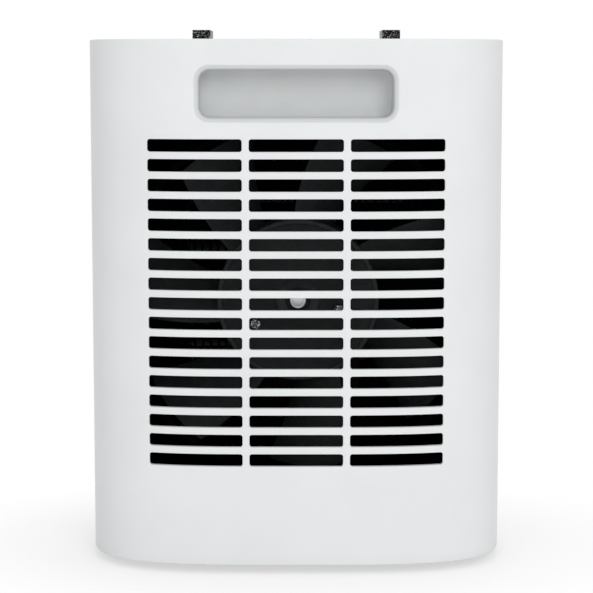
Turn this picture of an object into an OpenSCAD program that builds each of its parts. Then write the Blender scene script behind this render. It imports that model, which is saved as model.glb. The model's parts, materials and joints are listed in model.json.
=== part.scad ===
// Upright fan heater with two dials on top, seen first from its air inlet side.
// The frame stands on the floor: +Z is up, the origin is under the middle of the body,
// the inlet grille faces -Y and the warm air leaves through the grille that faces +Y.

/* [Body] */
// Width of the moulded body
body_w = 198.4; // [190:0.2:216]
// Depth of the moulded body
body_d = 140.3; // [134:0.1:160]
// Height of the moulded body above its feet
body_h = 245; // [243:0.5:270]
// Wall of the moulded shells
wall = 2.4; // [2:0.1:3]
// Squareness of the plan: 2 is an ellipse, a larger number is boxier
squareness = 3.69; // [3.4:0.01:4.2]
// How far behind the middle the two shells meet
split_y = 6; // [2:0.5:12]
// Width of the ledges inside the shells that carry the base and the top panel
ledge_w = 12; // [11:0.5:15]
// Thickness of those ledges
ledge_t = 2.4; // [2:0.1:3.5]

/* [Inlet grille] */
// Rows of slots
slot_rows = 17; // [9:1:17]
// Distance from one row to the next
slot_pitch = 9.15; // [8:0.05:9.3]
// Height of a slot
slot_h = 5.85; // [3:0.05:6.5]
// Width of a slot
slot_w = 43.4; // [34:0.1:44]
// Upright bar between two columns of slots
slot_bar = 3.45; // [2.5:0.05:5]
// Corner radius of a slot
slot_r = 1; // [0.5:0.1:1.4]
// Depth of the grille's and the fan's centre below the top of the body
fan_drop = 121.8; // [119:0.2:126]

/* [Grip pocket] */
// Width of the finger opening
grip_w = 89.6; // [80:0.2:92]
// Height of the finger opening
grip_h = 22.1; // [20:0.1:23]
// Rim round the finger opening
grip_rim = 1.9; // [1.5:0.1:2.4]
// Depth of the pocket inside
grip_depth = 19.5; // [15:0.5:20]
// Corner radius of the finger opening
grip_r = 5; // [3:0.5:8]
// Depth of the pocket's centre below the top of the body
grip_drop = 24.95; // [22:0.05:26]

/* [Outlet grille] */
// Width of the outlet opening
outlet_w = 128; // [112:1:134]
// Height of the outlet opening
outlet_h = 150; // [120:1:160]
// Distance from one louvre slot to the next
louvre_pitch = 8.4; // [7.5:0.1:10]
// Height of a louvre slot on the face
louvre_gap = 5.6; // [4:0.1:6]
// Tilt of the louvres, down and outwards, so that drips run out and nobody sees in
louvre_tilt = 35; // [25:1:38]
// Depth of the louvres behind the face
louvre_depth = 11; // [9:0.5:12]
// Upright ribs of the outlet grille
louvre_ribs = 3; // [1:1:5]
// Width of an upright rib of the outlet grille
louvre_rib_w = 3; // [2:0.1:4]
// Flange of the outlet grille behind the shell
louvre_flange = 5; // [3:0.5:7]
// Corner radius of the outlet opening
outlet_r = 6; // [3:0.5:10]

/* [Dials] */
// Distance between the two dials
dial_spacing = 91.4; // [84:0.2:100]
// Diameter of a dial
dial_d = 34; // [32:0.5:38]
// Width of a dial's grip bar
bar_w = 8.6; // [8:0.1:11]
// Height of the grip bar above the top of the body
bar_rise = 4.9; // [4:0.1:9]
// Width of the pointer line let into a grip bar
pointer_w = 1.2; // [0.8:0.1:2]
// Length of the pointer line
pointer_l = 8.4; // [5:0.1:12]
// Depth of the well that a dial sits in
well_depth = 4; // [3.6:0.1:5]
// Gap round a dial in its well
well_gap = 0.6; // [0.3:0.1:1.2]
// Diameter of a dial's shaft
dial_shaft_d = 6; // [5:0.1:6.4]
// Width of the thermostat and of the rotary switch
device_w = 30; // [28:0.5:34]
// Height of the thermostat and of the rotary switch
device_h = 16; // [14:0.5:20]
// Diameter of the pilot lamp's lens
lens_d = 7; // [5:0.5:9]

/* [Fan] */
// Sideways offset of the fan's axis
fan_x = 0.8; // [-1.5:0.1:1.5]
// Room beside the blade tips for the duct and the bracket's screws
fan_side_room = 15.6; // [14:0.1:22]
// Room between the blade tips and the underside of the grip pocket
fan_top_room = 2.7; // [2:0.1:8]
// Radius of the hub
hub_r = 38.1; // [34:0.1:42]
// Number of blades
blade_count = 7; // [5:1:9]
// Depth of a blade along the axis
blade_depth = 24; // [18:0.5:24.5]
// Thickness of a blade at its middle
blade_t = 2; // [1.4:0.1:3]
// Distance from the inlet face back to the leading edges of the blades
blade_setback = 20; // [19:0.5:21]
// Gap between the blade tips and the duct
tip_gap = 2; // [1.5:0.1:3]
// Thickness of the duct plate
duct_t = 3; // [2:0.1:4]
// Wall of the duct ring
duct_wall = 2; // [1.6:0.1:2.6]

/* [Motor] */
// Diameter of the motor's shaft
shaft_d = 5; // [4:0.1:6]
// Radial running clearance of every shaft in its bore
run_fit = 0.04; // [0.02:0.01:0.08]
// Radius of the rotor
rotor_r = 13; // [11:0.1:14]
// Gap between the rotor and the stator
air_gap = 0.4; // [0.3:0.05:0.6]
// Thickness of the stator's stack of laminations
stack_t = 18; // [14:0.5:20]
// Width of the stator
stack_w = 60; // [56:0.5:66]
// Thickness of the motor bracket and of the bearing straps
strap_t = 2; // [1.5:0.1:2.5]

/* [Heating element] */
// Width of the fin pack
pack_w = 130; // [110:1:134]
// Rows of fins
fin_rows = 5; // [3:1:6]
// Height of one row of fins
fin_row_h = 14; // [12:0.5:15]
// Distance from one fin to the next
fin_pitch = 4; // [3.5:0.1:6]
// Thickness of a fin
fin_t = 0.8; // [0.5:0.1:1.2]
// Height of a ceramic bar between two rows of fins
bar_h = 4; // [3:0.5:4.5]
// Depth of the fin pack along the air's path
pack_depth = 16; // [12:0.5:18]
// Thickness of the element's frame plate and collar
frame_t = 3; // [2:0.1:4]

/* [Base] */
// Height of the feet
foot_h = 4; // [3.4:0.1:4.5]
// Diameter of a foot
foot_d = 14; // [10:0.5:18]
// Distance between the feet, left to right
foot_span_x = 136; // [120:1:146]
// Distance between the feet, front to back
foot_span_y = 80; // [70:1:86]
// Thickness of the base plate and of the top panel
plate_t = 3; // [2.5:0.1:3.5]
// Diameter of the tip-over plunger
plunger_d = 6; // [5:0.1:6.5]
// Travel of the tip-over plunger
plunger_travel = 5; // [3:0.1:5.5]
// Diameter of the cord that the gland grips
cord_d = 7.2; // [6:0.1:8]

/* [Fastenings] */
// Shank diameter of the screws
screw_d = 3; // [2.6:0.1:3.4]
// Clearance between parts that are pushed together
fit = 0.2; // [0.1:0.05:0.3]

/* [Hidden] */
$fn = 64;

// Body levels and half sizes
half_w = body_w / 2;
half_d = body_d / 2;
outline_steps = 48; // flats on one shell's half of the outline
z_under = foot_h;
z_top = foot_h + body_h;
z_base_top = z_under + plate_t;
z_ledge_low = z_base_top + ledge_t;
z_panel_under = z_top - plate_t;
z_ledge_high = z_panel_under - ledge_t;
fan_z = z_top - fan_drop;
cut = 1; // how far a cutting shape runs past what it cuts
sink = 0.6; // how deep a boss or a ledge runs into the wall that carries it

// Grip pocket
pocket_w = grip_w + 2 * grip_rim;
pocket_h = grip_h + 2 * grip_rim;
pocket_y = -half_d + grip_depth + grip_rim; // back of the pocket
grip_z = z_top - grip_drop;

// Fan and duct, as distances along Y; the blades clear the side walls and the pocket
fan_r = min(half_w - wall - fan_side_room, grip_z - pocket_h / 2 - fan_z - fan_top_room);
blade_y = -half_d + blade_setback;
hub_y = blade_y - 2; // the hub's front rim stands proud of the blades
fan_back_y = blade_y + blade_depth;
hub_wall = 2.2;
hub_skin = 2.2;
hub_dish = 0.8; // how far the hub's face lies behind its rim
collar_r = 9.9;
collar_recess_r = 5.9;
cap_r = 3.8;
duct_r = fan_r + tip_gap;
duct_back_y = fan_back_y + 9;
duct_y = duct_back_y - duct_t;
duct_mouth_y = max(pocket_y, blade_y) + 1;
duct_lip = 3;
plate_fit = 0.3; // gap round the duct plate and the element's frame in the shells
boss_r = 4.5;
duct_boss_x = half_w - 19.2;
duct_boss_z = [z_ledge_low + 17, z_ledge_high - 17];

// Motor, from the bracket backwards along Y
bracket_y = duct_back_y;
front_strap_y = bracket_y + strap_t;
stack_y = front_strap_y + strap_t;
rear_strap_y = stack_y + stack_t;
shaft_r = shaft_d / 2;
bearing_r = 8;
bearing_reach = 5;
bearing_w = 16;
bore_r = shaft_r + run_fit;
stack_bore_r = rotor_r + air_gap;
stack_rise = stack_bore_r + 8;
yoke = 11; // iron round the coil's window
window_h = 16;
window_w = stack_w - 2 * yoke;
leg_top = -stack_bore_r - 6 - window_h; // top of the leg inside the coil, below the axis
leg_h = 12;
coil_t = 6;
motor_screw_x = stack_bore_r + 8;
bracket_screw_x = duct_r + 6;
bracket_w = 26;
strap_l = 2 * (motor_screw_x + 5);

// Heating element
pack_h = fin_rows * fin_row_h + (fin_rows + 1) * bar_h;
frame_y = 26;
pack_y = frame_y + 1;
pack_back_y = pack_y + pack_depth;
lip = 2;
frame_screw_x = duct_boss_x;
cutout_r = 8.5;
cutout_t = 7;
cutout_x = 25 - pack_w / 2;

// Dials
dial_r = dial_d / 2;
well_r = dial_r + well_gap;
well_z = z_top - well_depth;
well_floor = 1.5;
cup_z = well_z - well_floor;
dial_lift = 0.3; // gap under a dial
dial_skin = 1.8;
dial_z = z_top + 0.2; // top of the dial's disc
dial_shaft_r = dial_shaft_d / 2;
dial_sleeve_r = dial_shaft_r + 2;
dial_flat = dial_shaft_r * 0.68; // the flat on a dial's shaft, from its axis
dial_bore_end = z_top + bar_rise - 2;
dial_screw_y = 9.5;
pointer_margin = 1.6; // from the end of the bar to its pointer line
pointer_deep = 0.5;
device_d = 26;
modes = 4;

// Base
guide_z = z_base_top + 1;
plunger_r = plunger_d / 2;
plunger_flange_r = plunger_r + 2.2;
plunger_flange_t = 1.5;
plunger_tip_z = 0.3;
flange_z = guide_z + plunger_travel + fit;
spring_z = flange_z + plunger_flange_t;
spring_l = 12;
plunger_y = 4;
plunger_x = -30;
switch_wall = 2;
block_x = 30;
block_y = -4;
gland_y = 17;
gland_z = z_ledge_low + 13;
gland_flange = 1.6;
gland_neck_r = cord_d / 2 + 1.6;

// Screws
screw_r = screw_d / 2;
head_r = screw_r * 1.75;
head_t = screw_r * 1.2;
slack = 0.1; // round a screw in its hole
rim_screw_x = half_w - wall - 9;
rim_screw_y = 34;
rim_boss_h = 8;

// ---- Plan of the body ----

// Half width of the plan at a depth y, for an outline set in from the outside
function half_x(y, inset) =
    (half_w - inset) * pow(1 - pow(abs(y) / (half_d - inset), squareness), 1 / squareness);
// Half depth of the plan at a distance x from the centre
function half_y(x, inset) =
    (half_d - inset) * pow(1 - pow(abs(x) / (half_w - inset), squareness), 1 / squareness);
// The angle at which the outline crosses the plane where the shells meet
function split_angle(inset) = asin(pow(split_y / (half_d - inset), squareness / 2));
// A point of the outline
function outline_point(a, inset) = [
    (half_w - inset) * sign(cos(a)) * pow(abs(cos(a)), 2 / squareness),
    (half_d - inset) * sign(sin(a)) * pow(abs(sin(a)), 2 / squareness)];
function outline_arc(a0, a1, inset, steps) =
    [for (i = [0:steps]) outline_point(a0 + (a1 - a0) * i / steps, inset)];
// One shell's side of the outline, from the right-hand end of the seam to the left-hand one
function inlet_arc(inset) =
    let (s = split_angle(inset)) outline_arc(s, -180 - s, inset, outline_steps);
function outlet_arc(inset) =
    let (s = split_angle(inset)) outline_arc(s, 180 - s, inset, outline_steps);
function reversed(list) = [for (i = [len(list) - 1:-1:0]) list[i]];

// Rounded rectangle about the origin, with k flats on each corner
function round_rect(w, h, r, k = 6) = [
    for (c = [[1, 1, 0], [-1, 1, 90], [-1, -1, 180], [1, -1, 270]])
        for (i = [0:k])
            [c[0] * (w / 2 - r) + r * cos(c[2] + 90 * i / k),
             c[1] * (h / 2 - r) + r * sin(c[2] + 90 * i / k)]];

module outline(inset) {
    polygon(outline_arc(0, 360 - 180 / outline_steps, inset, 2 * outline_steps - 1));
}

// A slab of the whole plan
module plan_slab(inset, z, t) {
    translate([0, 0, z]) linear_extrude(t) outline(inset);
}

// A wall that follows one shell's side of the outline, between two insets
module rim_band(outer_arc, inner_arc, z, t) {
    translate([0, 0, z]) linear_extrude(t) polygon(concat(outer_arc, reversed(inner_arc)));
}

// Puts a shape drawn in X and Z, and raised towards +Y, at a distance y
module facing_back(y) {
    translate([0, y, 0]) mirror([0, 1, 0]) rotate([90, 0, 0]) children();
}

module y_cylinder(x, y, z, r, l) {
    translate([x, y, z]) rotate([-90, 0, 0]) cylinder(r = r, h = l);
}

// Pan-head screw with its head above z = 0 and its shank below
module screw(l) {
    cylinder(r = head_r, h = head_t);
    translate([0, 0, -l]) cylinder(r = screw_r, h = l + head_t / 2);
}

// ---- Shells ----

// What both shells share: wall, ledges and the bosses for the base screws
module shell_body(outer, mid, inner, side) {
    rim_band(outer, mid, z_under, body_h);
    intersection() {
        union() {
            rim_band(outer, inner, z_base_top, ledge_t);
            rim_band(outer, inner, z_ledge_high, ledge_t);
            for (x = [-1, 1])
                translate([x * rim_screw_x, side * rim_screw_y, z_base_top])
                    cylinder(r = boss_r, h = ledge_t + rim_boss_h);
        }
        plan_slab(wall - sink, z_under, body_h);
    }
}

module rim_screw_holes(side) {
    for (x = [-1, 1]) {
        translate([x * rim_screw_x, side * rim_screw_y, z_base_top - cut])
            cylinder(r = screw_r + slack, h = ledge_t + rim_boss_h - 2 + cut);
        translate([x * rim_screw_x, side * rim_screw_y, z_ledge_high - cut])
            cylinder(r = screw_r + slack, h = ledge_t + 2 * cut);
    }
}

// The slots of the inlet, as bars that cut through the wall
module inlet_slots() {
    for (row = [0:slot_rows - 1])
        for (col = [-1:1])
            translate([col * (slot_w + slot_bar), -half_d - cut,
                       fan_z + (row - (slot_rows - 1) / 2) * slot_pitch])
                facing_back(0) linear_extrude(half_d / 3)
                    polygon(round_rect(slot_w, slot_h, slot_r, 2));
}

module inlet_shell() {
    color("whitesmoke")
    difference() {
        union() {
            shell_body(inlet_arc(0), inlet_arc(wall), inlet_arc(wall + ledge_w), -1);
            intersection() {
                for (x = [-1, 1]) for (z = duct_boss_z)
                    y_cylinder(x * duct_boss_x, -half_d, z, boss_r, duct_y + half_d);
                plan_slab(wall - sink, z_under, body_h);
            }
        }
        inlet_slots();
        translate([0, 0, grip_z]) facing_back(-half_d - cut) linear_extrude(half_d / 3)
            polygon(round_rect(pocket_w + 2 * fit, pocket_h + 2 * fit, grip_r + grip_rim));
        rim_screw_holes(-1);
        for (x = [-1, 1]) for (z = duct_boss_z)
            y_cylinder(x * duct_boss_x, duct_y - 9, z, screw_r + slack, 9 + cut);
    }
}

module outlet_shell() {
    color("whitesmoke")
    difference() {
        union() {
            shell_body(outlet_arc(0), outlet_arc(wall), outlet_arc(wall + ledge_w), 1);
            intersection() {
                union() {
                    for (x = [-1, 1]) for (z = duct_boss_z)
                        y_cylinder(x * frame_screw_x, frame_y + frame_t, z, boss_r, half_d);
                    translate([half_w - wall - 3, gland_y, gland_z]) rotate([0, 90, 0])
                        cylinder(r = gland_neck_r + 3, h = wall + 2);
                }
                plan_slab(wall - sink, z_under, body_h);
            }
        }
        translate([0, 0, fan_z]) facing_back(half_d * 2 / 3) linear_extrude(half_d / 2)
            polygon(round_rect(outlet_w, outlet_h, outlet_r));
        rim_screw_holes(1);
        for (x = [-1, 1]) for (z = duct_boss_z)
            y_cylinder(x * frame_screw_x, frame_y, z, screw_r + slack, frame_t + 9);
        translate([half_w / 2, gland_y, gland_z]) rotate([0, 90, 0])
            cylinder(r = gland_neck_r + slack, h = half_w);
        translate([half_w - wall, gland_y, gland_z]) rotate([0, 90, 0])
            cylinder(r = gland_neck_r + 2.4, h = half_w);
    }
}

// A tilted prism through the outlet, drawn on the face at x and z
module tilted_back(x, z, w, h, r) {
    translate([x, half_y(x, 0), z]) rotate([-louvre_tilt, 0, 0]) facing_back(-half_d / 2)
        linear_extrude(half_d) polygon(round_rect(w, h * cos(louvre_tilt), r, 2));
}

// The outlet grille fills the opening flush with the shell. It has a flange behind it, and its
// louvres run back and up from the face inside a sleeve.
module outlet_grille() {
    rows = floor((outlet_h - 2 * louvre_pitch) / louvre_pitch);
    field_w = outlet_w - 2 * louvre_pitch;
    cell = (field_w - louvre_ribs * louvre_rib_w) / (louvre_ribs + 1);
    color("dimgray")
    difference() {
        union() {
            intersection() {
                rim_band(outlet_arc(0), outlet_arc(wall), z_under, body_h);
                translate([0, 0, fan_z]) facing_back(0) linear_extrude(half_d + cut)
                    polygon(round_rect(outlet_w - 2 * fit, outlet_h - 2 * fit, outlet_r));
            }
            intersection() {
                rim_band(outlet_arc(wall), outlet_arc(2 * wall), z_under, body_h);
                translate([0, 0, fan_z]) facing_back(0) linear_extrude(half_d + cut)
                    polygon(round_rect(outlet_w + 2 * louvre_flange,
                                       outlet_h + 2 * louvre_flange, outlet_r));
            }
            intersection() {
                rim_band(outlet_arc(wall), outlet_arc(louvre_depth), z_under, body_h);
                tilted_back(0, fan_z, field_w + 2 * wall, rows * louvre_pitch + 2 * wall, slot_r);
            }
        }
        for (row = [0:rows - 1]) for (col = [0:louvre_ribs])
            tilted_back((col - louvre_ribs / 2) * (cell + louvre_rib_w),
                        fan_z + (row - (rows - 1) / 2) * louvre_pitch, cell, louvre_gap, slot_r);
    }
}

// ---- Top ----

module control_panel() {
    color("whitesmoke")
    difference() {
        union() {
            plan_slab(wall + fit, z_panel_under, plate_t);
            for (x = [-1, 1]) translate([x * dial_spacing / 2, 0, cup_z])
                cylinder(r = well_r + 2, h = z_top - cup_z);
        }
        for (x = [-1, 1]) translate([x * dial_spacing / 2, 0, 0]) {
            translate([0, 0, well_z]) cylinder(r = well_r, h = well_depth + cut);
            translate([0, 0, cup_z - cut]) cylinder(r = dial_shaft_r + 1.2, h = well_floor + 2 * cut);
            for (y = [-1, 1]) translate([0, y * dial_screw_y, cup_z - cut])
                cylinder(r = screw_r + slack, h = well_floor + 2 * cut);
        }
        translate([0, 0, z_panel_under - cut]) cylinder(r = lens_d / 2, h = plate_t + 2 * cut);
        for (x = [-1, 1]) for (y = [-1, 1])
            translate([x * rim_screw_x, y * rim_screw_y, z_panel_under - cut])
                cylinder(r = screw_r + slack, h = plate_t * 0.7 + cut);
    }
}

// A dial: hollow disc with a grip bar across it and a sleeve for the shaft
module dial() {
    difference() {
        union() {
            translate([0, 0, well_z + dial_lift]) cylinder(r = dial_r, h = dial_z - well_z - dial_lift);
            intersection() {
                translate([-bar_w / 2, -dial_r, dial_z - dial_skin])
                    cube([bar_w, 2 * dial_r, z_top + bar_rise - dial_z + dial_skin]);
                cylinder(r = dial_r, h = z_top + 2 * bar_rise);
            }
        }
        translate([0, 0, well_z]) difference() {
            cylinder(r = dial_r - 2, h = dial_z - dial_skin - well_z);
            cylinder(r = dial_sleeve_r, h = well_depth);
        }
        dial_shaft_end();
        translate([-pointer_w / 2, pointer_margin - dial_r, z_top + bar_rise - pointer_deep])
            cube([pointer_w, pointer_l, bar_rise]);
    }
}

// The upper part of a dial's shaft, with its flat, which the dial's bore also follows
module dial_shaft_end() {
    difference() {
        translate([0, 0, well_z]) cylinder(r = dial_shaft_r, h = dial_bore_end - well_z);
        translate([dial_flat, -dial_r, well_z + 1])
            cube([dial_r, 2 * dial_r, dial_bore_end]);
    }
}

module dial_shaft() {
    dial_shaft_end();
    translate([0, 0, cup_z - device_h + 4]) cylinder(r = dial_shaft_r, h = well_z - cup_z + device_h - 4);
}

module mode_knob() {
    color("dimgray") translate([dial_spacing / 2, 0, 0]) dial();
}

module thermostat_knob() {
    color("dimgray") translate([-dial_spacing / 2, 0, 0]) dial();
}

module switch_shaft() {
    color("silver") translate([dial_spacing / 2, 0, 0]) dial_shaft();
}

module thermostat_shaft() {
    color("silver") translate([-dial_spacing / 2, 0, 0]) dial_shaft();
}

// Bores that both devices under the dials share
module device_bores() {
    translate([0, 0, cup_z - device_h + 4 - fit])
        cylinder(r = dial_shaft_r + run_fit, h = device_h);
    for (y = [-1, 1]) translate([0, y * dial_screw_y, cup_z - 6 - slack])
        cylinder(r = screw_r + slack, h = 6 + cut);
}

module rotary_switch() {
    color("ivory") translate([dial_spacing / 2, 0, 0]) {
        difference() {
            translate([0, 0, cup_z - device_h]) cylinder(r = device_w / 2, h = device_h);
            device_bores();
        }
        for (i = [0:modes]) rotate([0, 0, 180 + (i - modes / 2) * 36])
            translate([device_w / 2 - 4, -2.4, cup_z - device_h - 7]) cube([0.8, 4.8, 7 + sink]);
    }
}

module thermostat() {
    color("saddlebrown") translate([-dial_spacing / 2, 0, 0]) {
        difference() {
            translate([-device_w / 2, -device_d / 2, cup_z - device_h])
                cube([device_w, device_d, device_h]);
            device_bores();
        }
        for (x = [-1, 1]) translate([x * (device_w / 2 - 4) - 0.4, -2.4, cup_z - device_h - 7])
            cube([0.8, 4.8, 7]);
    }
}

module dial_screws() {
    color("silver") for (x = [-1, 1]) for (y = [-1, 1])
        translate([x * dial_spacing / 2, y * dial_screw_y, well_z]) screw(6 + well_floor - fit);
}

module pilot_lens() {
    color("orangered") {
        translate([0, 0, z_panel_under - 6]) cylinder(r = lens_d / 2 + 1.5, h = 6);
        translate([0, 0, z_panel_under - 1]) cylinder(r = lens_d / 2 - slack, h = plate_t + 1);
    }
}

module panel_screws() {
    color("silver") for (x = [-1, 1]) for (y = [-1, 1])
        translate([x * rim_screw_x, y * rim_screw_y, z_ledge_high]) mirror([0, 0, 1])
            screw(ledge_t + plate_t * 0.7 - fit);
}

// ---- Grip ----

// A closed tray behind the finger opening: its rim follows the face of the shell
module grip_pocket() {
    color("whitesmoke")
    difference() {
        intersection() {
            plan_slab(0, z_under, body_h);
            translate([0, 0, grip_z]) facing_back(-half_d - cut)
                linear_extrude(pocket_y + half_d + cut)
                    polygon(round_rect(pocket_w, pocket_h, grip_r + grip_rim));
        }
        translate([0, 0, grip_z]) facing_back(-half_d - 2 * cut)
            linear_extrude(grip_depth + 2 * cut) polygon(round_rect(grip_w, grip_h, grip_r));
    }
}

// ---- Base ----

module base_plate() {
    color("dimgray")
    difference() {
        union() {
            plan_slab(wall + fit, z_under, plate_t);
            translate([plunger_x, plunger_y, z_under])
                cylinder(r = plunger_flange_r, h = guide_z - z_under);
        }
        translate([plunger_x, plunger_y, z_under - cut])
            cylinder(r = plunger_r + run_fit, h = guide_z - z_under + 2 * cut);
        for (x = [-1, 1]) for (y = [-1, 1]) {
            translate([x * rim_screw_x, y * rim_screw_y, z_under - cut])
                cylinder(r = screw_r + slack, h = plate_t + 2 * cut);
            translate([x * foot_span_x / 2, y * foot_span_y / 2, z_under - cut])
                cylinder(r = foot_d / 5 + slack, h = plate_t + 2 * cut);
        }
    }
}

// Rubber feet, each with a peg that snaps through the base plate
module feet() {
    color("dimgray") for (x = [-1, 1]) for (y = [-1, 1])
        translate([x * foot_span_x / 2, y * foot_span_y / 2, 0]) {
            cylinder(r1 = foot_d / 2 - 1, r2 = foot_d / 2, h = 1);
            translate([0, 0, 1]) cylinder(r = foot_d / 2, h = foot_h - 1);
            cylinder(r = foot_d / 5, h = z_base_top);
            translate([0, 0, z_base_top]) cylinder(r1 = foot_d / 5 + 0.8, r2 = foot_d / 5 - 0.6, h = 2);
        }
}

module base_screws() {
    color("silver") for (x = [-1, 1]) for (y = [-1, 1])
        translate([x * rim_screw_x, y * rim_screw_y, z_under]) mirror([0, 0, 1])
            screw(plate_t + ledge_t + rim_boss_h - 3);
}

// Housing of the tip-over switch: the plunger's flange and spring run inside it
module tip_switch() {
    housing_r = plunger_flange_r + 0.5;
    housing_h = spring_z + spring_l + switch_wall - z_base_top;
    color("black") translate([plunger_x, plunger_y, 0])
    difference() {
        union() {
            translate([0, 0, z_base_top]) cylinder(r = housing_r + switch_wall, h = housing_h);
            translate([0, -8, z_base_top]) cube([26, 16, housing_h]);
        }
        translate([0, 0, z_base_top - cut]) cylinder(r = housing_r, h = housing_h - switch_wall + cut);
    }
}

module tip_plunger() {
    color("white") translate([plunger_x, plunger_y, 0]) {
        translate([0, 0, plunger_tip_z]) cylinder(r = plunger_r, h = spring_z - plunger_tip_z);
        translate([0, 0, flange_z]) cylinder(r = plunger_flange_r, h = plunger_flange_t);
        translate([0, 0, spring_z]) cylinder(r = plunger_r - 1.4, h = spring_l - 4);
    }
}

// Compression spring between the plunger's flange and the roof of the switch
module tip_spring() {
    color("silver") translate([plunger_x, plunger_y, spring_z])
    difference() {
        cylinder(r = plunger_r + 1.4, h = spring_l);
        translate([0, 0, -cut]) cylinder(r = plunger_r + 0.4, h = spring_l + 2 * cut);
    }
}

module terminal_block() {
    ways = 3;
    way_w = 10;
    color("ivory") translate([block_x, block_y, z_base_top])
    difference() {
        cube([ways * way_w, 18, 12]);
        for (i = [0:ways - 1]) translate([(i + 0.5) * way_w, 0, 0]) {
            translate([0, -cut, 5]) rotate([-90, 0, 0]) cylinder(r = 2.2, h = 18 + 2 * cut);
            for (y = [4.5, 13.5]) translate([0, y, 5]) cylinder(r = 2.6, h = 12);
        }
    }
}

// Bush that grips the supply cord where it enters the side wall
module cord_gland() {
    neck_x = half_w - wall - 3;
    color("dimgray") translate([0, gland_y, gland_z])
    difference() {
        union() {
            translate([half_w - wall, 0, 0]) rotate([0, 90, 0])
                cylinder(r = gland_neck_r + 2, h = gland_flange);
            translate([neck_x - 3, 0, 0]) rotate([0, 90, 0])
                cylinder(r = gland_neck_r, h = half_w - wall - neck_x + 3 + gland_flange / 2);
            translate([neck_x - 3, 0, 0]) rotate([0, 90, 0]) cylinder(r = gland_neck_r + 1, h = 3);
        }
        translate([neck_x - 6, 0, 0]) rotate([0, 90, 0]) cylinder(r = cord_d / 2, h = half_w);
    }
}

// ---- Fan ----

// A plate across the body, shared by the fan duct and by the element's frame
module cross_plate(y, t) {
    w = 2 * (half_x(max(abs(y), abs(y + t)), wall) - plate_fit);
    translate([-w / 2, y, z_ledge_low + fit]) cube([w, t, z_ledge_high - z_ledge_low - 2 * fit]);
}

module fan_duct() {
    color("black")
    difference() {
        union() {
            cross_plate(duct_y, duct_t);
            y_cylinder(fan_x, duct_mouth_y, fan_z, duct_r + duct_wall, duct_back_y - duct_mouth_y);
            y_cylinder(fan_x, duct_mouth_y, fan_z, duct_r + duct_lip, 1.5);
        }
        y_cylinder(fan_x, duct_mouth_y - cut, fan_z, duct_r, duct_back_y - duct_mouth_y + 2 * cut);
        for (x = [-1, 1]) {
            for (z = duct_boss_z)
                y_cylinder(x * duct_boss_x, duct_y - cut, z, screw_r + slack, duct_t + 2 * cut);
            y_cylinder(fan_x + x * bracket_screw_x, duct_y - cut, fan_z, screw_r + slack,
                       duct_t + 2 * cut);
        }
    }
}

module duct_screws() {
    color("silver") for (x = [-1, 1]) for (z = duct_boss_z)
        translate([x * duct_boss_x, duct_back_y, z]) rotate([-90, 0, 0]) screw(duct_t + 8);
}

// Everything that turns is drawn about the fan's axis, with its own +Z towards the inlet
module on_fan_axis() {
    translate([fan_x, 0, fan_z]) rotate([90, 0, 0]) children();
}

blade_spread = [30, 27.5]; // angle from leading to trailing edge, at the root and at the tip
blade_lead = [93.6, 81.3]; // angle of the leading edge, at the root and at the tip
blade_camber = 0.09; // of the chord
blade_root_r = hub_r - hub_wall + 0.6;
blade_stations = 8;
blade_points = 6;

function blend(pair, k) = pair[0] + (pair[1] - pair[0]) * k;
function edge_round(s) = sqrt(max(0.06, 1 - pow(abs(2 * s - 1), 3)));

// A point of a blade: k runs from root to tip, s from leading to trailing edge
function blade_point(k, s, side) =
    let (r = blend([blade_root_r, fan_r], k),
         spread = blend(blade_spread, k) * PI / 180 * r,
         chord = sqrt(spread * spread + blade_depth * blade_depth),
         off = side * blade_t / 2 * edge_round(s) + blade_camber * chord * 4 * s * (1 - s),
         along = -s * spread - off * blade_depth / chord,
         a = blend(blade_lead, k) + along * 180 / PI / r,
         z = -blade_y - s * blade_depth + off * spread / chord)
    [r * cos(a), r * sin(a), z];

function blade_section(k) = concat(
    [for (i = [0:blade_points - 1]) blade_point(k, i / (blade_points - 1), 1)],
    [for (i = [blade_points - 1:-1:0]) blade_point(k, i / (blade_points - 1), -1)]);

module blade() {
    ring = 2 * blade_points;
    polyhedron(
        points = [for (k = [0:blade_stations]) each blade_section(k / blade_stations)],
        faces = concat(
            [for (k = [0:blade_stations - 1]) for (i = [0:ring - 1])
                let (a = k * ring + i, b = k * ring + (i + 1) % ring)
                each [[a, b + ring, b], [a, a + ring, b + ring]]],
            [for (i = [1:ring - 2]) [0, i, i + 1]],
            [for (i = [1:ring - 2]) let (o = blade_stations * ring) [o, o + i + 1, o + i]]));
}

hub_screw_at = [[-20, -11.4], [19.3, -4.7]];

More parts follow.
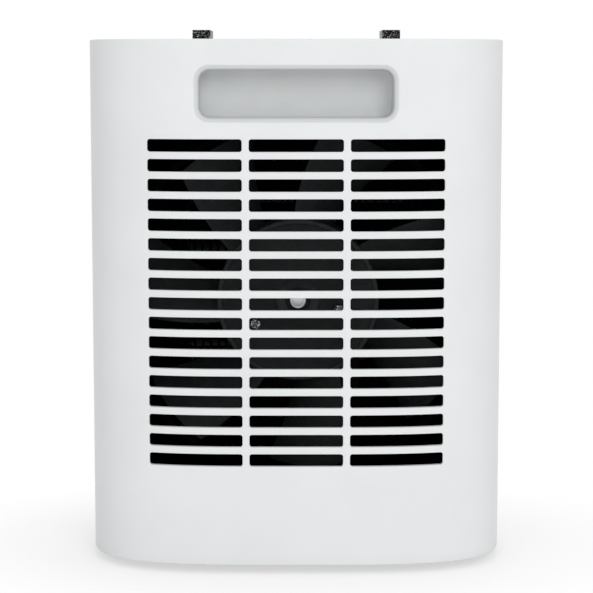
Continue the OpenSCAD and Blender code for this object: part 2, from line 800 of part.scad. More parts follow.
module impeller() {
    hub_front = -hub_y;
    hub_back = -fan_back_y + 1;
    face = hub_front - hub_dish;
    color("gray") on_fan_axis()
    difference() {
        union() {
            difference() {
                translate([0, 0, hub_back]) cylinder(r = hub_r, h = hub_front - hub_back);
                translate([0, 0, hub_back - cut])
                    cylinder(r = hub_r - hub_wall, h = face - hub_skin - hub_back + cut);
                translate([0, 0, face]) cylinder(r = hub_r - hub_wall, h = hub_dish + cut);
            }
            translate([0, 0, hub_back]) cylinder(r = collar_r, h = hub_front - hub_back);
            for (a = [0:60:300]) rotate([0, 0, a])
                translate([collar_r - sink, -0.8, face - hub_skin - 8])
                    cube([hub_r - hub_wall - collar_r + 2 * sink, 1.6, 8 + sink]);
            for (p = hub_screw_at) translate([p[0], p[1], face - hub_skin - 5])
                cylinder(r = screw_r + 1.8, h = 5 + sink);
            for (i = [0:blade_count - 1]) rotate([0, 0, i * 360 / blade_count]) blade();
        }
        translate([0, 0, hub_back - cut]) cylinder(r = shaft_r, h = hub_front - hub_back + 2 * cut);
        translate([0, 0, hub_front - 2]) cylinder(r = collar_recess_r, h = 2 + cut);
        for (p = hub_screw_at) translate([p[0], p[1], face - hub_skin - 5 - cut])
            cylinder(r = screw_r, h = hub_skin + 5 + 2 * cut);
    }
}

module hub_screws() {
    color("silver") on_fan_axis() for (p = hub_screw_at)
        translate([p[0], p[1], -hub_y - hub_dish]) screw(hub_skin + 4);
}

module shaft_cap() {
    color("silver") on_fan_axis()
    difference() {
        translate([0, 0, -hub_y - 2]) {
            cylinder(r = cap_r, h = 3.4);
            translate([0, 0, 3.4]) cylinder(r1 = cap_r, r2 = cap_r - 0.8, h = 0.6);
        }
        translate([0, 0, -hub_y - 2 - cut]) cylinder(r = shaft_r, h = 2 + cut);
    }
}

module motor_shaft() {
    shaft_end_y = rear_strap_y + strap_t + bearing_reach - 0.5;
    color("silver") y_cylinder(fan_x, hub_y, fan_z, shaft_r, shaft_end_y - hub_y);
}

module rotor() {
    end_gap = 2;
    color("lightgray")
    difference() {
        y_cylinder(fan_x, stack_y + end_gap, fan_z, rotor_r, stack_t - 2 * end_gap);
        y_cylinder(fan_x, stack_y, fan_z, shaft_r, stack_t);
    }
}

// ---- Motor ----

module motor_bracket() {
    color("lightgray")
    difference() {
        union() {
            translate([fan_x - bracket_screw_x - 5, bracket_y, fan_z - bracket_w / 2])
                cube([2 * (bracket_screw_x + 5), strap_t, bracket_w]);
            y_cylinder(fan_x, bracket_y, fan_z, motor_screw_x + 5, strap_t);
        }
        y_cylinder(fan_x, bracket_y - cut, fan_z, bearing_r + fit, strap_t + 2 * cut);
        for (x = [-1, 1]) {
            y_cylinder(fan_x + x * motor_screw_x, bracket_y - cut, fan_z, screw_r + slack,
                       strap_t + 2 * cut);
            y_cylinder(fan_x + x * bracket_screw_x, bracket_y - cut, fan_z, screw_r + slack,
                       strap_t + 2 * cut);
        }
    }
}

module bracket_screws() {
    color("silver") for (x = [-1, 1])
        translate([fan_x + x * bracket_screw_x, bracket_y + strap_t, fan_z]) rotate([-90, 0, 0])
            screw(strap_t + duct_t);
}

// A strap with a bearing boss, bored for the shaft; the boss reaches away from the stator
module bearing_strap(y, boss_y) {
    difference() {
        union() {
            translate([fan_x - strap_l / 2, y, fan_z - bearing_w / 2]) cube([strap_l, strap_t, bearing_w]);
            y_cylinder(fan_x, boss_y, fan_z, bearing_r, strap_t + bearing_reach);
        }
        y_cylinder(fan_x, boss_y - cut, fan_z, bore_r, strap_t + bearing_reach + 2 * cut);
        for (x = [-1, 1])
            y_cylinder(fan_x + x * motor_screw_x, y - cut, fan_z, screw_r + slack, strap_t + 2 * cut);
    }
}

module front_bearing() {
    color("gold") bearing_strap(front_strap_y, front_strap_y - bearing_reach);
}

module rear_bearing() {
    color("gold") bearing_strap(rear_strap_y, rear_strap_y);
}

module stator() {
    color("slategray") translate([fan_x, 0, fan_z])
    difference() {
        facing_back(stack_y) linear_extrude(stack_t) difference() {
            translate([-stack_w / 2, leg_top - leg_h]) square([stack_w, stack_rise - leg_top + leg_h]);
            translate([-window_w / 2, leg_top]) square([window_w, window_h]);
        }
        y_cylinder(0, stack_y - cut, 0, stack_bore_r, stack_t + 2 * cut);
        for (x = [-1, 1])
            y_cylinder(x * motor_screw_x, stack_y - cut, 0, screw_r + slack, stack_t + 2 * cut);
    }
}

module stator_coil() {
    coil_l = window_w - 2;
    color("sienna") translate([fan_x, stack_y, fan_z + leg_top - leg_h])
    difference() {
        translate([-coil_l / 2, -coil_t, -coil_t])
            cube([coil_l, stack_t + 2 * coil_t, leg_h + 2 * coil_t]);
        translate([-coil_l / 2 - cut, 0, 0]) cube([coil_l + 2 * cut, stack_t, leg_h]);
    }
}

module motor_screws() {
    color("silver") for (x = [-1, 1])
        translate([fan_x + x * motor_screw_x, rear_strap_y + strap_t, fan_z]) rotate([-90, 0, 0])
            screw(3 * strap_t + stack_t);
}

// ---- Heating element ----

module heater_fins() {
    gaps = floor((pack_w - fin_t) / fin_pitch);
    color("silver") for (row = [0:fin_rows - 1])
        translate([0, 0, fan_z - pack_h / 2 + bar_h + row * (fin_row_h + bar_h)])
            facing_back(pack_y) linear_extrude(pack_depth) difference() {
                translate([-pack_w / 2, 0]) square([pack_w, fin_row_h]);
                for (i = [0:gaps - 1]) translate([(i - gaps / 2) * fin_pitch + fin_t / 2, 0.6])
                    square([fin_pitch - fin_t, fin_row_h - 1.2]);
            }
}

module ceramic_bars() {
    color("darkkhaki") for (row = [0:fin_rows])
        translate([-pack_w / 2, pack_y, fan_z - pack_h / 2 + row * (fin_row_h + bar_h)])
            cube([pack_w, pack_depth, bar_h]);
}

module element_frame() {
    collar_w = pack_w + 2 * fit + 2 * frame_t;
    collar_h = pack_h + 2 * fit + 2 * frame_t;
    color("black")
    difference() {
        union() {
            cross_plate(frame_y, frame_t);
            translate([-collar_w / 2, frame_y, fan_z - collar_h / 2])
                cube([collar_w, pack_back_y + lip - frame_y, collar_h]);
        }
        translate([-pack_w / 2 - fit, frame_y - cut, fan_z - pack_h / 2 - fit])
            cube([pack_w + 2 * fit, pack_back_y - frame_y + cut, pack_h + 2 * fit]);
        translate([-pack_w / 2 + lip, frame_y, fan_z - pack_h / 2 + lip])
            cube([pack_w - 2 * lip, pack_depth * 2, pack_h - 2 * lip]);
        for (x = [-1, 1]) for (z = duct_boss_z)
            y_cylinder(x * frame_screw_x, frame_y - cut, z, screw_r + slack, frame_t + 2 * cut);
    }
}

module frame_screws() {
    color("silver") for (x = [-1, 1]) for (z = duct_boss_z)
        translate([x * frame_screw_x, frame_y, z]) rotate([90, 0, 0]) screw(frame_t + 8);
}

// Self-resetting cut-out on the element's frame, above the fins
module thermal_cutout() {
    z = fan_z + pack_h / 2 + frame_t + cutout_r + 6;
    color("ivory") translate([cutout_x, 0, z]) {
        y_cylinder(0, frame_y - cutout_t, 0, cutout_r, cutout_t);
        translate([-cutout_r - 5, frame_y - 1, -4]) cube([2 * cutout_r + 10, 1, 8]);
        for (x = [-1, 1]) translate([x * 4 - 2, frame_y - cutout_t - 6, -0.4]) cube([4, 7, 0.8]);
    }
}

inlet_shell();
outlet_shell();
outlet_grille();
control_panel();
base_plate();
feet();
grip_pocket();
mode_knob();
thermostat_knob();
rotary_switch();
switch_shaft();
thermostat();
thermostat_shaft();
dial_screws();
pilot_lens();
panel_screws();
base_screws();
fan_duct();
duct_screws();
motor_bracket();
bracket_screws();
front_bearing();
rear_bearing();
stator();
stator_coil();
motor_screws();
rotor();
motor_shaft();
impeller();
shaft_cap();
hub_screws();
heater_fins();
ceramic_bars();
element_frame();
frame_screws();
thermal_cutout();
tip_switch();
tip_plunger();
tip_spring();
terminal_block();
cord_gland();
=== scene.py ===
# %% [markdown]
# # An upright fan heater
#
# The real object is a white moulded body that stands on four rubber feet. Air goes in through
# rows of slots in the front shell, past a fan, and comes out warm through the grille at the back.
# A finger pocket sits above the slots, and two black dials stand on the top panel.
#
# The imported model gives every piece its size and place. This script dresses it: pieces that
# show get smooth meshes with soft edges, and all of them get a material.

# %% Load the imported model
import json
import math

import bmesh
import bpy
import numpy as np
from mathutils import Matrix, Vector

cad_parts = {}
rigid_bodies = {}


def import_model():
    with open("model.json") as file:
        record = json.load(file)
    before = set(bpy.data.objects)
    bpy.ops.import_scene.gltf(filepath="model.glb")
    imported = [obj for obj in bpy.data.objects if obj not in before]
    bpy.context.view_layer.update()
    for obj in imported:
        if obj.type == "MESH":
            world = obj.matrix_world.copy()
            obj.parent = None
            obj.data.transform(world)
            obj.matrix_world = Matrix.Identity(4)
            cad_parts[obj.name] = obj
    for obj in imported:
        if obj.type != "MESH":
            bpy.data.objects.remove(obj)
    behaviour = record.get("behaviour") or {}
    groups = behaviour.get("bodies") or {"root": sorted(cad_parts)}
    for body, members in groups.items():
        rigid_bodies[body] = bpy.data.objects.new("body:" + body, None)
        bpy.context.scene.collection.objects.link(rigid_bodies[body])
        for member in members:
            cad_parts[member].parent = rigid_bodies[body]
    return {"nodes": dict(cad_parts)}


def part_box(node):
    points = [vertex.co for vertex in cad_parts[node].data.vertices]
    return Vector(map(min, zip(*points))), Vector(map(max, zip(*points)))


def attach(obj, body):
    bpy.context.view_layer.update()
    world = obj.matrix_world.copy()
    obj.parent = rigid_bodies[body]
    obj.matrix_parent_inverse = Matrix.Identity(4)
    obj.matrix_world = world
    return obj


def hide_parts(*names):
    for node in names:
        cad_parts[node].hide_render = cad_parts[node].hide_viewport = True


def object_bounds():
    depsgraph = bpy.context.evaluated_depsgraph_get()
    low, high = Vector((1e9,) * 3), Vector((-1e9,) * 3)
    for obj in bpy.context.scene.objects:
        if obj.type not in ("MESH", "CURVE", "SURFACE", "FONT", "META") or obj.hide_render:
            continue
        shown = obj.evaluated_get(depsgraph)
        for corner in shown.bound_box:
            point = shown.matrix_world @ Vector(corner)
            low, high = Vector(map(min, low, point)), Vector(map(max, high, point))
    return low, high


for leftover in list(bpy.data.objects):
    bpy.data.objects.remove(leftover)
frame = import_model()
cad_low, cad_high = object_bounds()
mm = 0.001
scene = bpy.context.scene
scene.view_settings.view_transform = "Standard"
print("packed model, mm:", [round((b - a) / mm, 1) for a, b in zip(cad_low, cad_high)])

# %% [markdown]
# ## Camera
#
# The photograph was taken from in front, a little below the top of the body, looking slightly
# down. Four corners of the body and the spacing of the slots fix the distance and the lens, so
# the numbers here are the solved ones. A long lens keeps the sides nearly parallel.

# %% Camera
image_side = 593  # pixels, both ways
focal_pixels = 1982.2
sensor = 36.0  # mm
looks_down = math.radians(6.627)
stands_at = (0.0001, -0.9789, 0.23655)  # metres

lens = bpy.data.cameras.new("lens")
lens.sensor_width = sensor
lens.lens = focal_pixels / image_side * sensor
camera = bpy.data.objects.new("camera", lens)
camera.location = stands_at
camera.rotation_euler = (math.pi / 2 - looks_down, 0, 0)
scene.collection.objects.link(camera)
scene.camera = camera
print("lens, mm:", round(lens.lens, 2))

# %% [markdown]
# ## Building node trees
#
# Materials and Geometry Nodes trees are both made of nodes and links. One small function adds a
# node, sets its settings and joins its inputs, so that every tree below reads from top to
# bottom. An input is named, or numbered where several share a name. It takes a number, a socket,
# or a whole node, which stands for its first output.


# %% Add a node
def add(tree, kind, inputs=None, **settings):
    """Adds a node. inputs gives each input a value, or the socket or node that feeds it."""
    made = tree.nodes.new(kind)
    for key, value in settings.items():
        setattr(made, key, value)
    for key, value in (inputs or {}).items():
        if isinstance(value, bpy.types.Node):
            value = value.outputs[0]
        if isinstance(value, bpy.types.NodeSocket):
            tree.links.new(value, made.inputs[key])
        else:
            made.inputs[key].default_value = value
    return made


def colour(hex_value):
    """A linear colour from an sRGB hex value such as "e8eaec"."""
    parts = [int(hex_value[i:i + 2], 16) / 255 for i in (0, 2, 4)]
    return [p / 12.92 if p <= 0.04045 else ((p + 0.055) / 1.055) ** 2.4 for p in parts] + [1.0]


def per_metre(size_mm):
    """The scale of a pattern whose features are that many millimetres wide."""
    return 1 / (size_mm * mm)


# %% [markdown]
# ## Floor, backdrop and light
#
# The photograph is a plain white studio shot. The floor is a large pale sheet that keeps the
# heater's shadow near its feet and turns pure white further out. The world is white to the
# camera, and to glossy and clear rays, so that metal and gloss show the same white room, while
# its light on the object stays lower. One wide lamp in front, a little to the right and above,
# gives the shell its even face, with the side walls a step darker. A weaker one, low on the left,
# reaches in through the slots to the fan, and one behind lifts the outlet side, which the
# photograph does not show. The lamps are kept out of the reflections, as a photographer does with
# a tent of white cloth: glossy rays see only the white room.

# %% World
white = (1, 1, 1, 1)
ambient = 0.54  # the room's light on the object, where 1 is white
world = bpy.data.worlds.new("white room")
scene.world = world
world.use_nodes = True
room = world.node_tree
room.nodes.clear()


def seen(tree):
    """A factor that is 1 for rays that look at a thing or its mirror image, and 0 for its light."""
    ray = add(tree, "ShaderNodeLightPath")
    shows = ray.outputs["Is Camera Ray"]
    for other in ("Is Glossy Ray", "Is Transmission Ray"):
        shows = add(tree, "ShaderNodeMath", {0: shows, 1: ray.outputs[other]}, operation="MAXIMUM")
    return shows


level = add(room, "ShaderNodeMapRange", {"Value": seen(room), "To Min": ambient, "To Max": 1.0})
sky = add(room, "ShaderNodeBackground", {"Color": white, "Strength": level})
add(room, "ShaderNodeOutputWorld", {"Surface": sky})
print("room's light:", ambient)

# %% Lamps
softboxes = {  # name: place and side in metres, power in watts
    "front softbox": ((0.45, -1.8, 1.0), 0.9, 11.6),
    "low fill": ((-0.2, -1.9, 0.3), 0.8, 3.7),
    "top softbox": ((0.1, 0.1, 1.6), 1.0, 4.0),
    "back softbox": ((0.1, 1.9, 0.9), 1.0, 9.0),
}
middle = Vector((0, 0, (cad_low.z + cad_high.z) / 2))
for name, (place, side, power) in softboxes.items():
    light = bpy.data.lights.new(name, "AREA")
    light.size = side
    light.energy = power
    lamp = bpy.data.objects.new(name, light)
    lamp.location = place
    lamp.rotation_mode = "QUATERNION"
    lamp.rotation_quaternion = (lamp.location - middle).to_track_quat("Z", "Y")
    lamp.visible_camera = False
    lamp.visible_glossy = False
    scene.collection.objects.link(lamp)
print("lamps:", list(softboxes))

# %% Floor
floor_half = 6.0  # metres
paper_tone = 0.93
shadow_from, shadow_to = 0.9, 2.2  # half widths of the heater, between which the shadow fades
near_white = 0.6  # how much of the pure white shows close to the feet

floor_mesh = bpy.data.meshes.new("floor")
floor_corners = [(x * floor_half, y * floor_half, 0)
                 for x, y in ((-1, -1), (1, -1), (1, 1), (-1, 1))]
floor_mesh.from_pydata(floor_corners, [], [(0, 1, 2, 3)])
floor = bpy.data.objects.new("floor", floor_mesh)
scene.collection.objects.link(floor)

paper = bpy.data.materials.new("white paper sweep")
paper.use_nodes = True
tree = paper.node_tree
tree.nodes.clear()
place = add(tree, "ShaderNodeTexCoord").outputs["Object"]
in_halves = add(tree, "ShaderNodeMapping", {"Vector": place,
                                            "Scale": (1 / cad_high.x, 1 / cad_high.y, 1)})
reach = add(tree, "ShaderNodeVectorMath", {0: in_halves}, operation="LENGTH").outputs["Value"]
far = add(tree, "ShaderNodeMapRange", {"Value": reach, "From Min": shadow_from,
                                       "From Max": shadow_to, "To Min": near_white, "To Max": 1.0},
          interpolation_type="SMOOTHSTEP")
near = add(tree, "ShaderNodeBsdfDiffuse", {"Color": (paper_tone, paper_tone, paper_tone, 1)})
glow = add(tree, "ShaderNodeEmission", {"Color": white, "Strength": 1.0})
share = add(tree, "ShaderNodeMath", {0: far, 1: seen(tree)}, operation="MULTIPLY")
both = add(tree, "ShaderNodeMixShader", {"Fac": share, 1: near, 2: glow})
add(tree, "ShaderNodeOutputMaterial", {"Surface": both})
floor_mesh.materials.append(paper)
print("floor, m:", 2 * floor_half)

# %% [markdown]
# ## Materials
#
# Each one starts from what the real piece is made of. The moulded plastics are a shader with a
# faint mottling of colour and roughness and a very fine bump, which is how a spark-eroded mould
# leaves its surface. The metals are bare: metallic, with the wear and brushing their making leaves.


# %% A material and its patterns
def material(name, base, roughness, metallic=0.0, ior=None, specular=None, tones=None, bump=None):
    """A new material. tones is what mottle() takes, and bump what grain() takes."""
    made = bpy.data.materials.new(name)
    made.use_nodes = True
    add(made.node_tree, "ShaderNodeTexCoord", name="coordinates")
    _, shader, _ = nodes_of(made)
    settings = {"Base Color": colour(base), "Roughness": roughness, "Metallic": metallic,
                "IOR": ior, "Specular IOR Level": specular}
    for label, value in settings.items():
        if value is not None:
            shader.inputs[label].default_value = value
    if tones:
        mottle(made, *tones)
    if bump:
        grain(made, *bump)
    return made


def nodes_of(made):
    """A material's node tree, its shader and its object coordinates."""
    tree = made.node_tree
    return tree, tree.nodes["Principled BSDF"], tree.nodes["coordinates"].outputs["Object"]


def mottle(made, light, dark, size_mm, detail=4.0, spread=(0.35, 0.65)):
    """Two tones that part over features of that size. A small spread parts them sharply."""
    tree, shader, where = nodes_of(made)
    cloud = add(tree, "ShaderNodeTexNoise", {"Vector": where, "Scale": per_metre(size_mm),
                                             "Detail": detail})
    ramp = add(tree, "ShaderNodeValToRGB", {"Fac": cloud.outputs["Fac"]})
    for stop, position, tone in zip(ramp.color_ramp.elements, spread, (dark, light)):
        stop.position = position
        stop.color = colour(tone)
    tree.links.new(ramp.outputs["Color"], shader.inputs["Base Color"])


def grain(made, size_mm, height_mm, strength=1.0):
    """The fine bump that a textured mould, a casting or a saw leaves."""
    tree, shader, where = nodes_of(made)
    cells = add(tree, "ShaderNodeTexNoise", {"Vector": where, "Scale": per_metre(size_mm),
                                             "Detail": 2.0})
    bump = add(tree, "ShaderNodeBump", {"Height": cells.outputs["Fac"], "Distance": height_mm * mm,
                                        "Strength": strength})
    tree.links.new(bump.outputs["Normal"], shader.inputs["Normal"])


def uneven_gloss(made, low, high, size_mm, stretch=(1, 1, 1)):
    """Roughness that wanders between two values, or runs in streaks where it is stretched."""
    tree, shader, where = nodes_of(made)
    long_way = add(tree, "ShaderNodeMapping", {"Vector": where, "Scale": stretch})
    cloud = add(tree, "ShaderNodeTexNoise", {"Vector": long_way, "Scale": per_metre(size_mm),
                                             "Detail": 3.0})
    spread = add(tree, "ShaderNodeMapRange", {"Value": cloud.outputs["Fac"], "To Min": low,
                                              "To Max": high})
    tree.links.new(spread.outputs["Result"], shader.inputs["Roughness"])
    return cloud.outputs["Fac"]


# %% Moulded plastic
spark_texture = (0.45, 0.012, 0.5)  # width and height in mm, and strength

# White ABS, injection moulded with a fine spark texture: even, slightly cool white, soft sheen.
white_abs = material("moulded white ABS", "e5e7e8", 0.42, ior=1.53,
                     tones=("e7e9ea", "e4e6e7", 30), bump=spark_texture)
uneven_gloss(white_abs, 0.38, 0.46, 6)

# The pocket is the same resin from another mould, polished less. Its colour is a touch greyer
# than the shell's, which is painted shade for the recess, and its lip and walls are a step lighter
# than its back: painted shade that deepens towards the back.
pocket_abs_painted_shade = material("moulded white ABS, pocket, painted shade", "cfd1d1", 0.5, ior=1.53,
                      tones=("d1d3d3", "cdcfcf", 18), bump=spark_texture)
tree, shader, where = nodes_of(pocket_abs_painted_shade)
tray_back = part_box("grip_pocket")[1].y
painted_light_from, painted_light_to = 2.2 * mm, 5 * mm  # in front of the tray's back
# Painted shade: the pocket's colour turns lighter from its back towards the lip.
depth = add(tree, "ShaderNodeSeparateXYZ", {0: where}).outputs["Y"]
lip_painted_light = add(tree, "ShaderNodeMapRange", {"Value": depth, "From Min": tray_back - painted_light_from,
                                            "From Max": tray_back - painted_light_to})
shaded_back_tone = shader.inputs["Base Color"].links[0].from_socket
tone = add(tree, "ShaderNodeMix", {"Factor": lip_painted_light, "A": shaded_back_tone, "B": colour("d5d7d8")},
           data_type="RGBA")
tree.links.new(tone.outputs["Result"], shader.inputs["Base Color"])

# Black ABS for the dials, with a coarse spark texture. The grey flecks in its colour are painted
# glints for the light that the texture breaks up. The flecks are drawn 0.6 mm wide, because finer
# ones run together at the size of the picture.
dial_abs_painted_glints = material("coarse textured black ABS", "0c0c0d", 0.3, ior=1.53, specular=0.12,
                    tones=("9a9a9a", "020202", 0.62, 1.0, (0.55, 0.68)), bump=(0.6, 0.1))

# Black glass-filled polypropylene for the grille and the base: dull, with a dry look.
black_pp = material("black glass-filled polypropylene", "161718", 0.62, ior=1.49, specular=0.2,
                    tones=("1a1b1c", "121314", 8), bump=(0.5, 0.02, 0.6))

# Black polypropylene for the duct, coloured near-black: partly its own black and partly painted
# shade, so that nearly no light comes back from inside.
duct_pp = material("black polypropylene duct, painted shade", "020202", 0.7, ior=1.49, specular=0.03,
                   tones=("030303", "010101", 10), bump=(0.6, 0.02, 0.5))

# Charcoal polypropylene for the fan: a soft satin that shows the blades' curves.
fan_pp = material("charcoal polypropylene fan", "1f2021", 0.5, ior=1.49, specular=0.1,
                  tones=("252627", "1f2021", 5), bump=(0.5, 0.015, 0.5))

# The same polypropylene on the hub's rim and on the left and right of its collar, glossier as the
# mould leaves it, and a little greyer in colour: painted highlights where the light catches them.
rim_pp_painted_highlight = material("charcoal polypropylene, bright rim", "222325", 0.42, ior=1.49, specular=0.22,
                  tones=("262729", "1e1f21", 4), bump=(0.5, 0.01, 0.5))

# Rubber feet and bush: matt, with a dusty bloom.
rubber = material("moulded black rubber", "1b1b1b", 0.8, ior=1.52,
                  tones=("232323", "161616", 2), bump=(0.35, 0.03))
print("materials, with the packed ones, after the plastics:", len(bpy.data.materials))

# %% [markdown]
# Metals keep the default IOR and take their look from colour, roughness and a directional
# pattern: turned faces have rings, rolled sheet has a long grain, and zinc plate is cloudy. A
# noise stretched along one axis is enough for a grain, and a wave for sheets or wires that lie
# side by side.


# %% Metals
def rolled(made, stretch, size_mm, low, high):
    """Streaks of roughness and height along one axis, as rolling or brushing leaves them."""
    tree, shader, _ = nodes_of(made)
    streak = uneven_gloss(made, low, high, size_mm, stretch)
    bump = add(tree, "ShaderNodeBump", {"Height": streak, "Distance": 0.01 * mm, "Strength": 0.5})
    tree.links.new(bump.outputs["Normal"], shader.inputs["Normal"])


def side_by_side(made, axis, pitch_mm, height_mm):
    """Ridges across one axis, such as the sheets of a stack or the turns of a winding."""
    tree, shader, where = nodes_of(made)
    ridges = add(tree, "ShaderNodeTexWave", {"Vector": where,
                                             "Scale": per_metre(pitch_mm) / math.tau},
                 bands_direction=axis)
    bump = add(tree, "ShaderNodeBump", {"Height": ridges.outputs["Fac"],
                                        "Distance": height_mm * mm})
    tree.links.new(bump.outputs["Normal"], shader.inputs["Normal"])


# Nickel-plated steel for shafts and the fan's cap: bright, with a faint turned ring.
bright_steel = material("nickel-plated steel", "d2d4d6", 0.28, 1.0)
rolled(bright_steel, (1, 0.1, 1), 0.4, 0.22, 0.4)

# Zinc-plated steel for the screws: a little duller and bluer.
zinc_steel = material("zinc-plated steel", "a9adb0", 0.35, 1.0,
                      tones=("b4b8ba", "9a9ea2", 1.2), bump=(0.3, 0.01))

# Black-oxide steel for the two screws in the fan's hub: dark, with bright flecks in its colour
# that are painted glints.
oxide_steel_painted_glints = material("black-oxide steel, painted glints", "363736", 0.3, 1.0,
                       tones=("c8c9c8", "2a2b2a", 0.8, 2.0, (0.45, 0.6)), bump=(0.5, 0.05))

# Black enamelled sheet steel for the motor's bracket: a thin stove enamel over rolled sheet,
# coloured near-black, partly the enamel and partly painted shade for the inside of the body.
enamelled_steel = material("black stove-enamelled steel", "030303", 0.6, ior=1.5, specular=0.03,
                           tones=("040404", "020202", 5), bump=(0.8, 0.02, 0.6))

# Heating fins of aluminium strip with a black heat-proof coating, coloured near-black: partly the
# coating and partly painted shade for the inside of the body. A long grain runs up and down the
# sheet that the thin coat does not fill.
coated_fins = material("black-coated aluminium fin stock", "030304", 0.6, ior=1.5, specular=0.04)
rolled(coated_fins, (1, 1, 0.08), 0.5, 0.52, 0.68)

# Silicon steel laminations, dipped in black varnish: thin layers across the stack. The colour is
# near-black, partly the varnish and partly painted shade for the inside of the motor.
laminations = material("varnished steel laminations", "040404", 0.5, specular=0.05)
side_by_side(laminations, "Y", 0.9, 0.1)

# Enamelled copper: a coil of close turns under a dipping varnish, coloured near-black: partly
# the varnish and partly painted shade for the inside of the motor.
copper = material("varnished copper winding, painted shade", "080402", 0.45, specular=0.05)
side_by_side(copper, "X", 0.6, 0.25)

# Sintered bronze bearings: warm, slightly porous.
bronze = material("sintered bronze", "8c6a3c", 0.5, 1.0,
                  tones=("967345", "7d5d33", 0.8), bump=(0.3, 0.03))
print("after the metals:", len(bpy.data.materials))

# %% [markdown]
# The insulating pieces carry current or heat: pressed phenolic for the switch bodies, a fired
# ceramic coloured near-black with painted shade for the bars between the fins, and a clear red
# lens for the pilot lamp.

# %% Insulators, lens and inks
# Ivory urea moulding for switch and terminals: smooth and slightly waxy.
ivory_urea = material("ivory urea moulding", "ddd6c2", 0.38, ior=1.55,
                      tones=("e1dac7", "d6cfba", 6), bump=(0.6, 0.01, 0.5))

# Brown phenolic for the thermostat: dark, with a resinous mottling.
phenolic = material("brown phenolic moulding", "4a2c1a", 0.35, ior=1.6,
                    tones=("563420", "3a2114", 2), bump=(0.5, 0.015, 0.5))

# The bars that heat: barium titanate, a fired ceramic, dry, and coloured near-black: partly
# its own dark grey and partly painted shade for the inside of the body.
heating_ceramic = material("fired heating ceramic, painted shade", "040405", 0.7, ior=1.6, specular=0.04,
                           tones=("060607", "030303", 3), bump=(0.4, 0.03))

# Heat-resistant black frame round the element: dull phenolic, coloured near-black, partly its
# own black and partly painted shade for the inside of the body.
black_phenolic = material("black phenolic frame, painted shade", "030303", 0.6, ior=1.6, specular=0.03,
                          tones=("040404", "020202", 4), bump=(0.5, 0.02))

# Acetal for the plunger: waxy white that slides without grease.
acetal = material("white acetal", "e2e2dd", 0.3, ior=1.48,
                  tones=("e5e5e1", "dcdcd6", 3), bump=(0.5, 0.008, 0.5))

# Pilot lens: red polycarbonate, clear enough to have depth.
red_lens = material("red polycarbonate lens", "c2301c", 0.12, ior=1.585,
                    tones=("cc3822", "a82413", 2.5), bump=(1.2, 0.02, 0.4))
nodes_of(red_lens)[1].inputs["Transmission Weight"].default_value = 0.35

# Pad-printed marks: grey ink, thin and dull.
grey_ink = material("grey pad-printing ink", "74777a", 0.6, tones=("7a7d80", "6d7073", 1))

# The dials' pointer line: a pale enamel filled into its groove.
pale_ink = material("pale enamel line", "d9dbdc", 0.45, tones=("dfe1e2", "cfd2d3", 1))
print("after the rest:", len(bpy.data.materials))

# %% [markdown]
# ## Turning points into pieces
#
# Most pieces here are made of patches: sheets of points in rows and columns. Each patch becomes
# quads, neighbours share their edge points, and merging those points closes the surface. This
# keeps the mesh even, so that a smooth shell has no dents in its shading.

# %% Patches
weld_gap = 0.004 * mm  # points that lie closer than this are one point


def quads(grid, close=False):
    """Vertices and faces of a sheet of points [row][column]. close joins the rows into rings."""
    grid = np.asarray(grid, float)
    rows, columns = grid.shape[:2]
    index = np.arange(rows * columns).reshape(rows, columns)
    if close:
        index = np.concatenate([index, index[:, :1]], axis=1)
    faces = np.stack([index[:-1, :-1], index[:-1, 1:], index[1:, 1:], index[1:, :-1]], axis=-1)
    return grid.reshape(-1, 3), faces.reshape(-1, 4).tolist()


def polygon(points):
    """One flat face through the points."""
    points = np.asarray(points, float)
    return points, [list(range(len(points)))]


def tube(rings):
    """Rings of points joined into a closed solid, with a flat face on the first and on the last."""
    return [quads(rings, close=True), polygon(rings[0]), polygon(rings[-1])]


def mesh_parts(mesh):
    """Vertices and faces of a mesh, in the form that patches have."""
    points = np.zeros(len(mesh.vertices) * 3)
    mesh.vertices.foreach_get("co", points)
    return points.reshape(-1, 3), [list(p.vertices) for p in mesh.polygons]


def welded(name, parts):
    """One mesh from patches: shared points merged, loose ones dropped and faces turned outwards."""
    points, faces, start = [], [], 0
    for part_points, part_faces in parts:
        points.append(part_points)
        faces += [[i + start for i in face] for face in part_faces]
        start += len(part_points)
    mesh = bpy.data.meshes.new(name)
    mesh.from_pydata(np.concatenate(points).tolist(), [], faces)
    work = bmesh.new()
    work.from_mesh(mesh)
    bmesh.ops.remove_doubles(work, verts=work.verts, dist=weld_gap)
    bmesh.ops.dissolve_degenerate(work, edges=work.edges, dist=weld_gap / 4)
    loose_edges = [e for e in work.edges if not e.link_faces]
    bmesh.ops.delete(work, geom=loose_edges, context="EDGES")
    loose_points = [v for v in work.verts if not v.link_faces]
    bmesh.ops.delete(work, geom=loose_points, context="VERTS")
    bmesh.ops.recalc_face_normals(work, faces=work.faces)
    work.to_mesh(mesh)
    work.free()
    return mesh


# %% Pieces
sharp_angle = math.radians(40)  # edges that turn by more than this stay sharp


def placed_mesh(name, mesh):
    """An object in the scene for a mesh."""
    made = bpy.data.objects.new(name, mesh)
    scene.collection.objects.link(made)
    return made


def settled_mesh(carrier):
    """The plain mesh that an object's modifiers give."""
    graph = bpy.context.evaluated_depsgraph_get()
    return bpy.data.meshes.new_from_object(carrier.evaluated_get(graph))


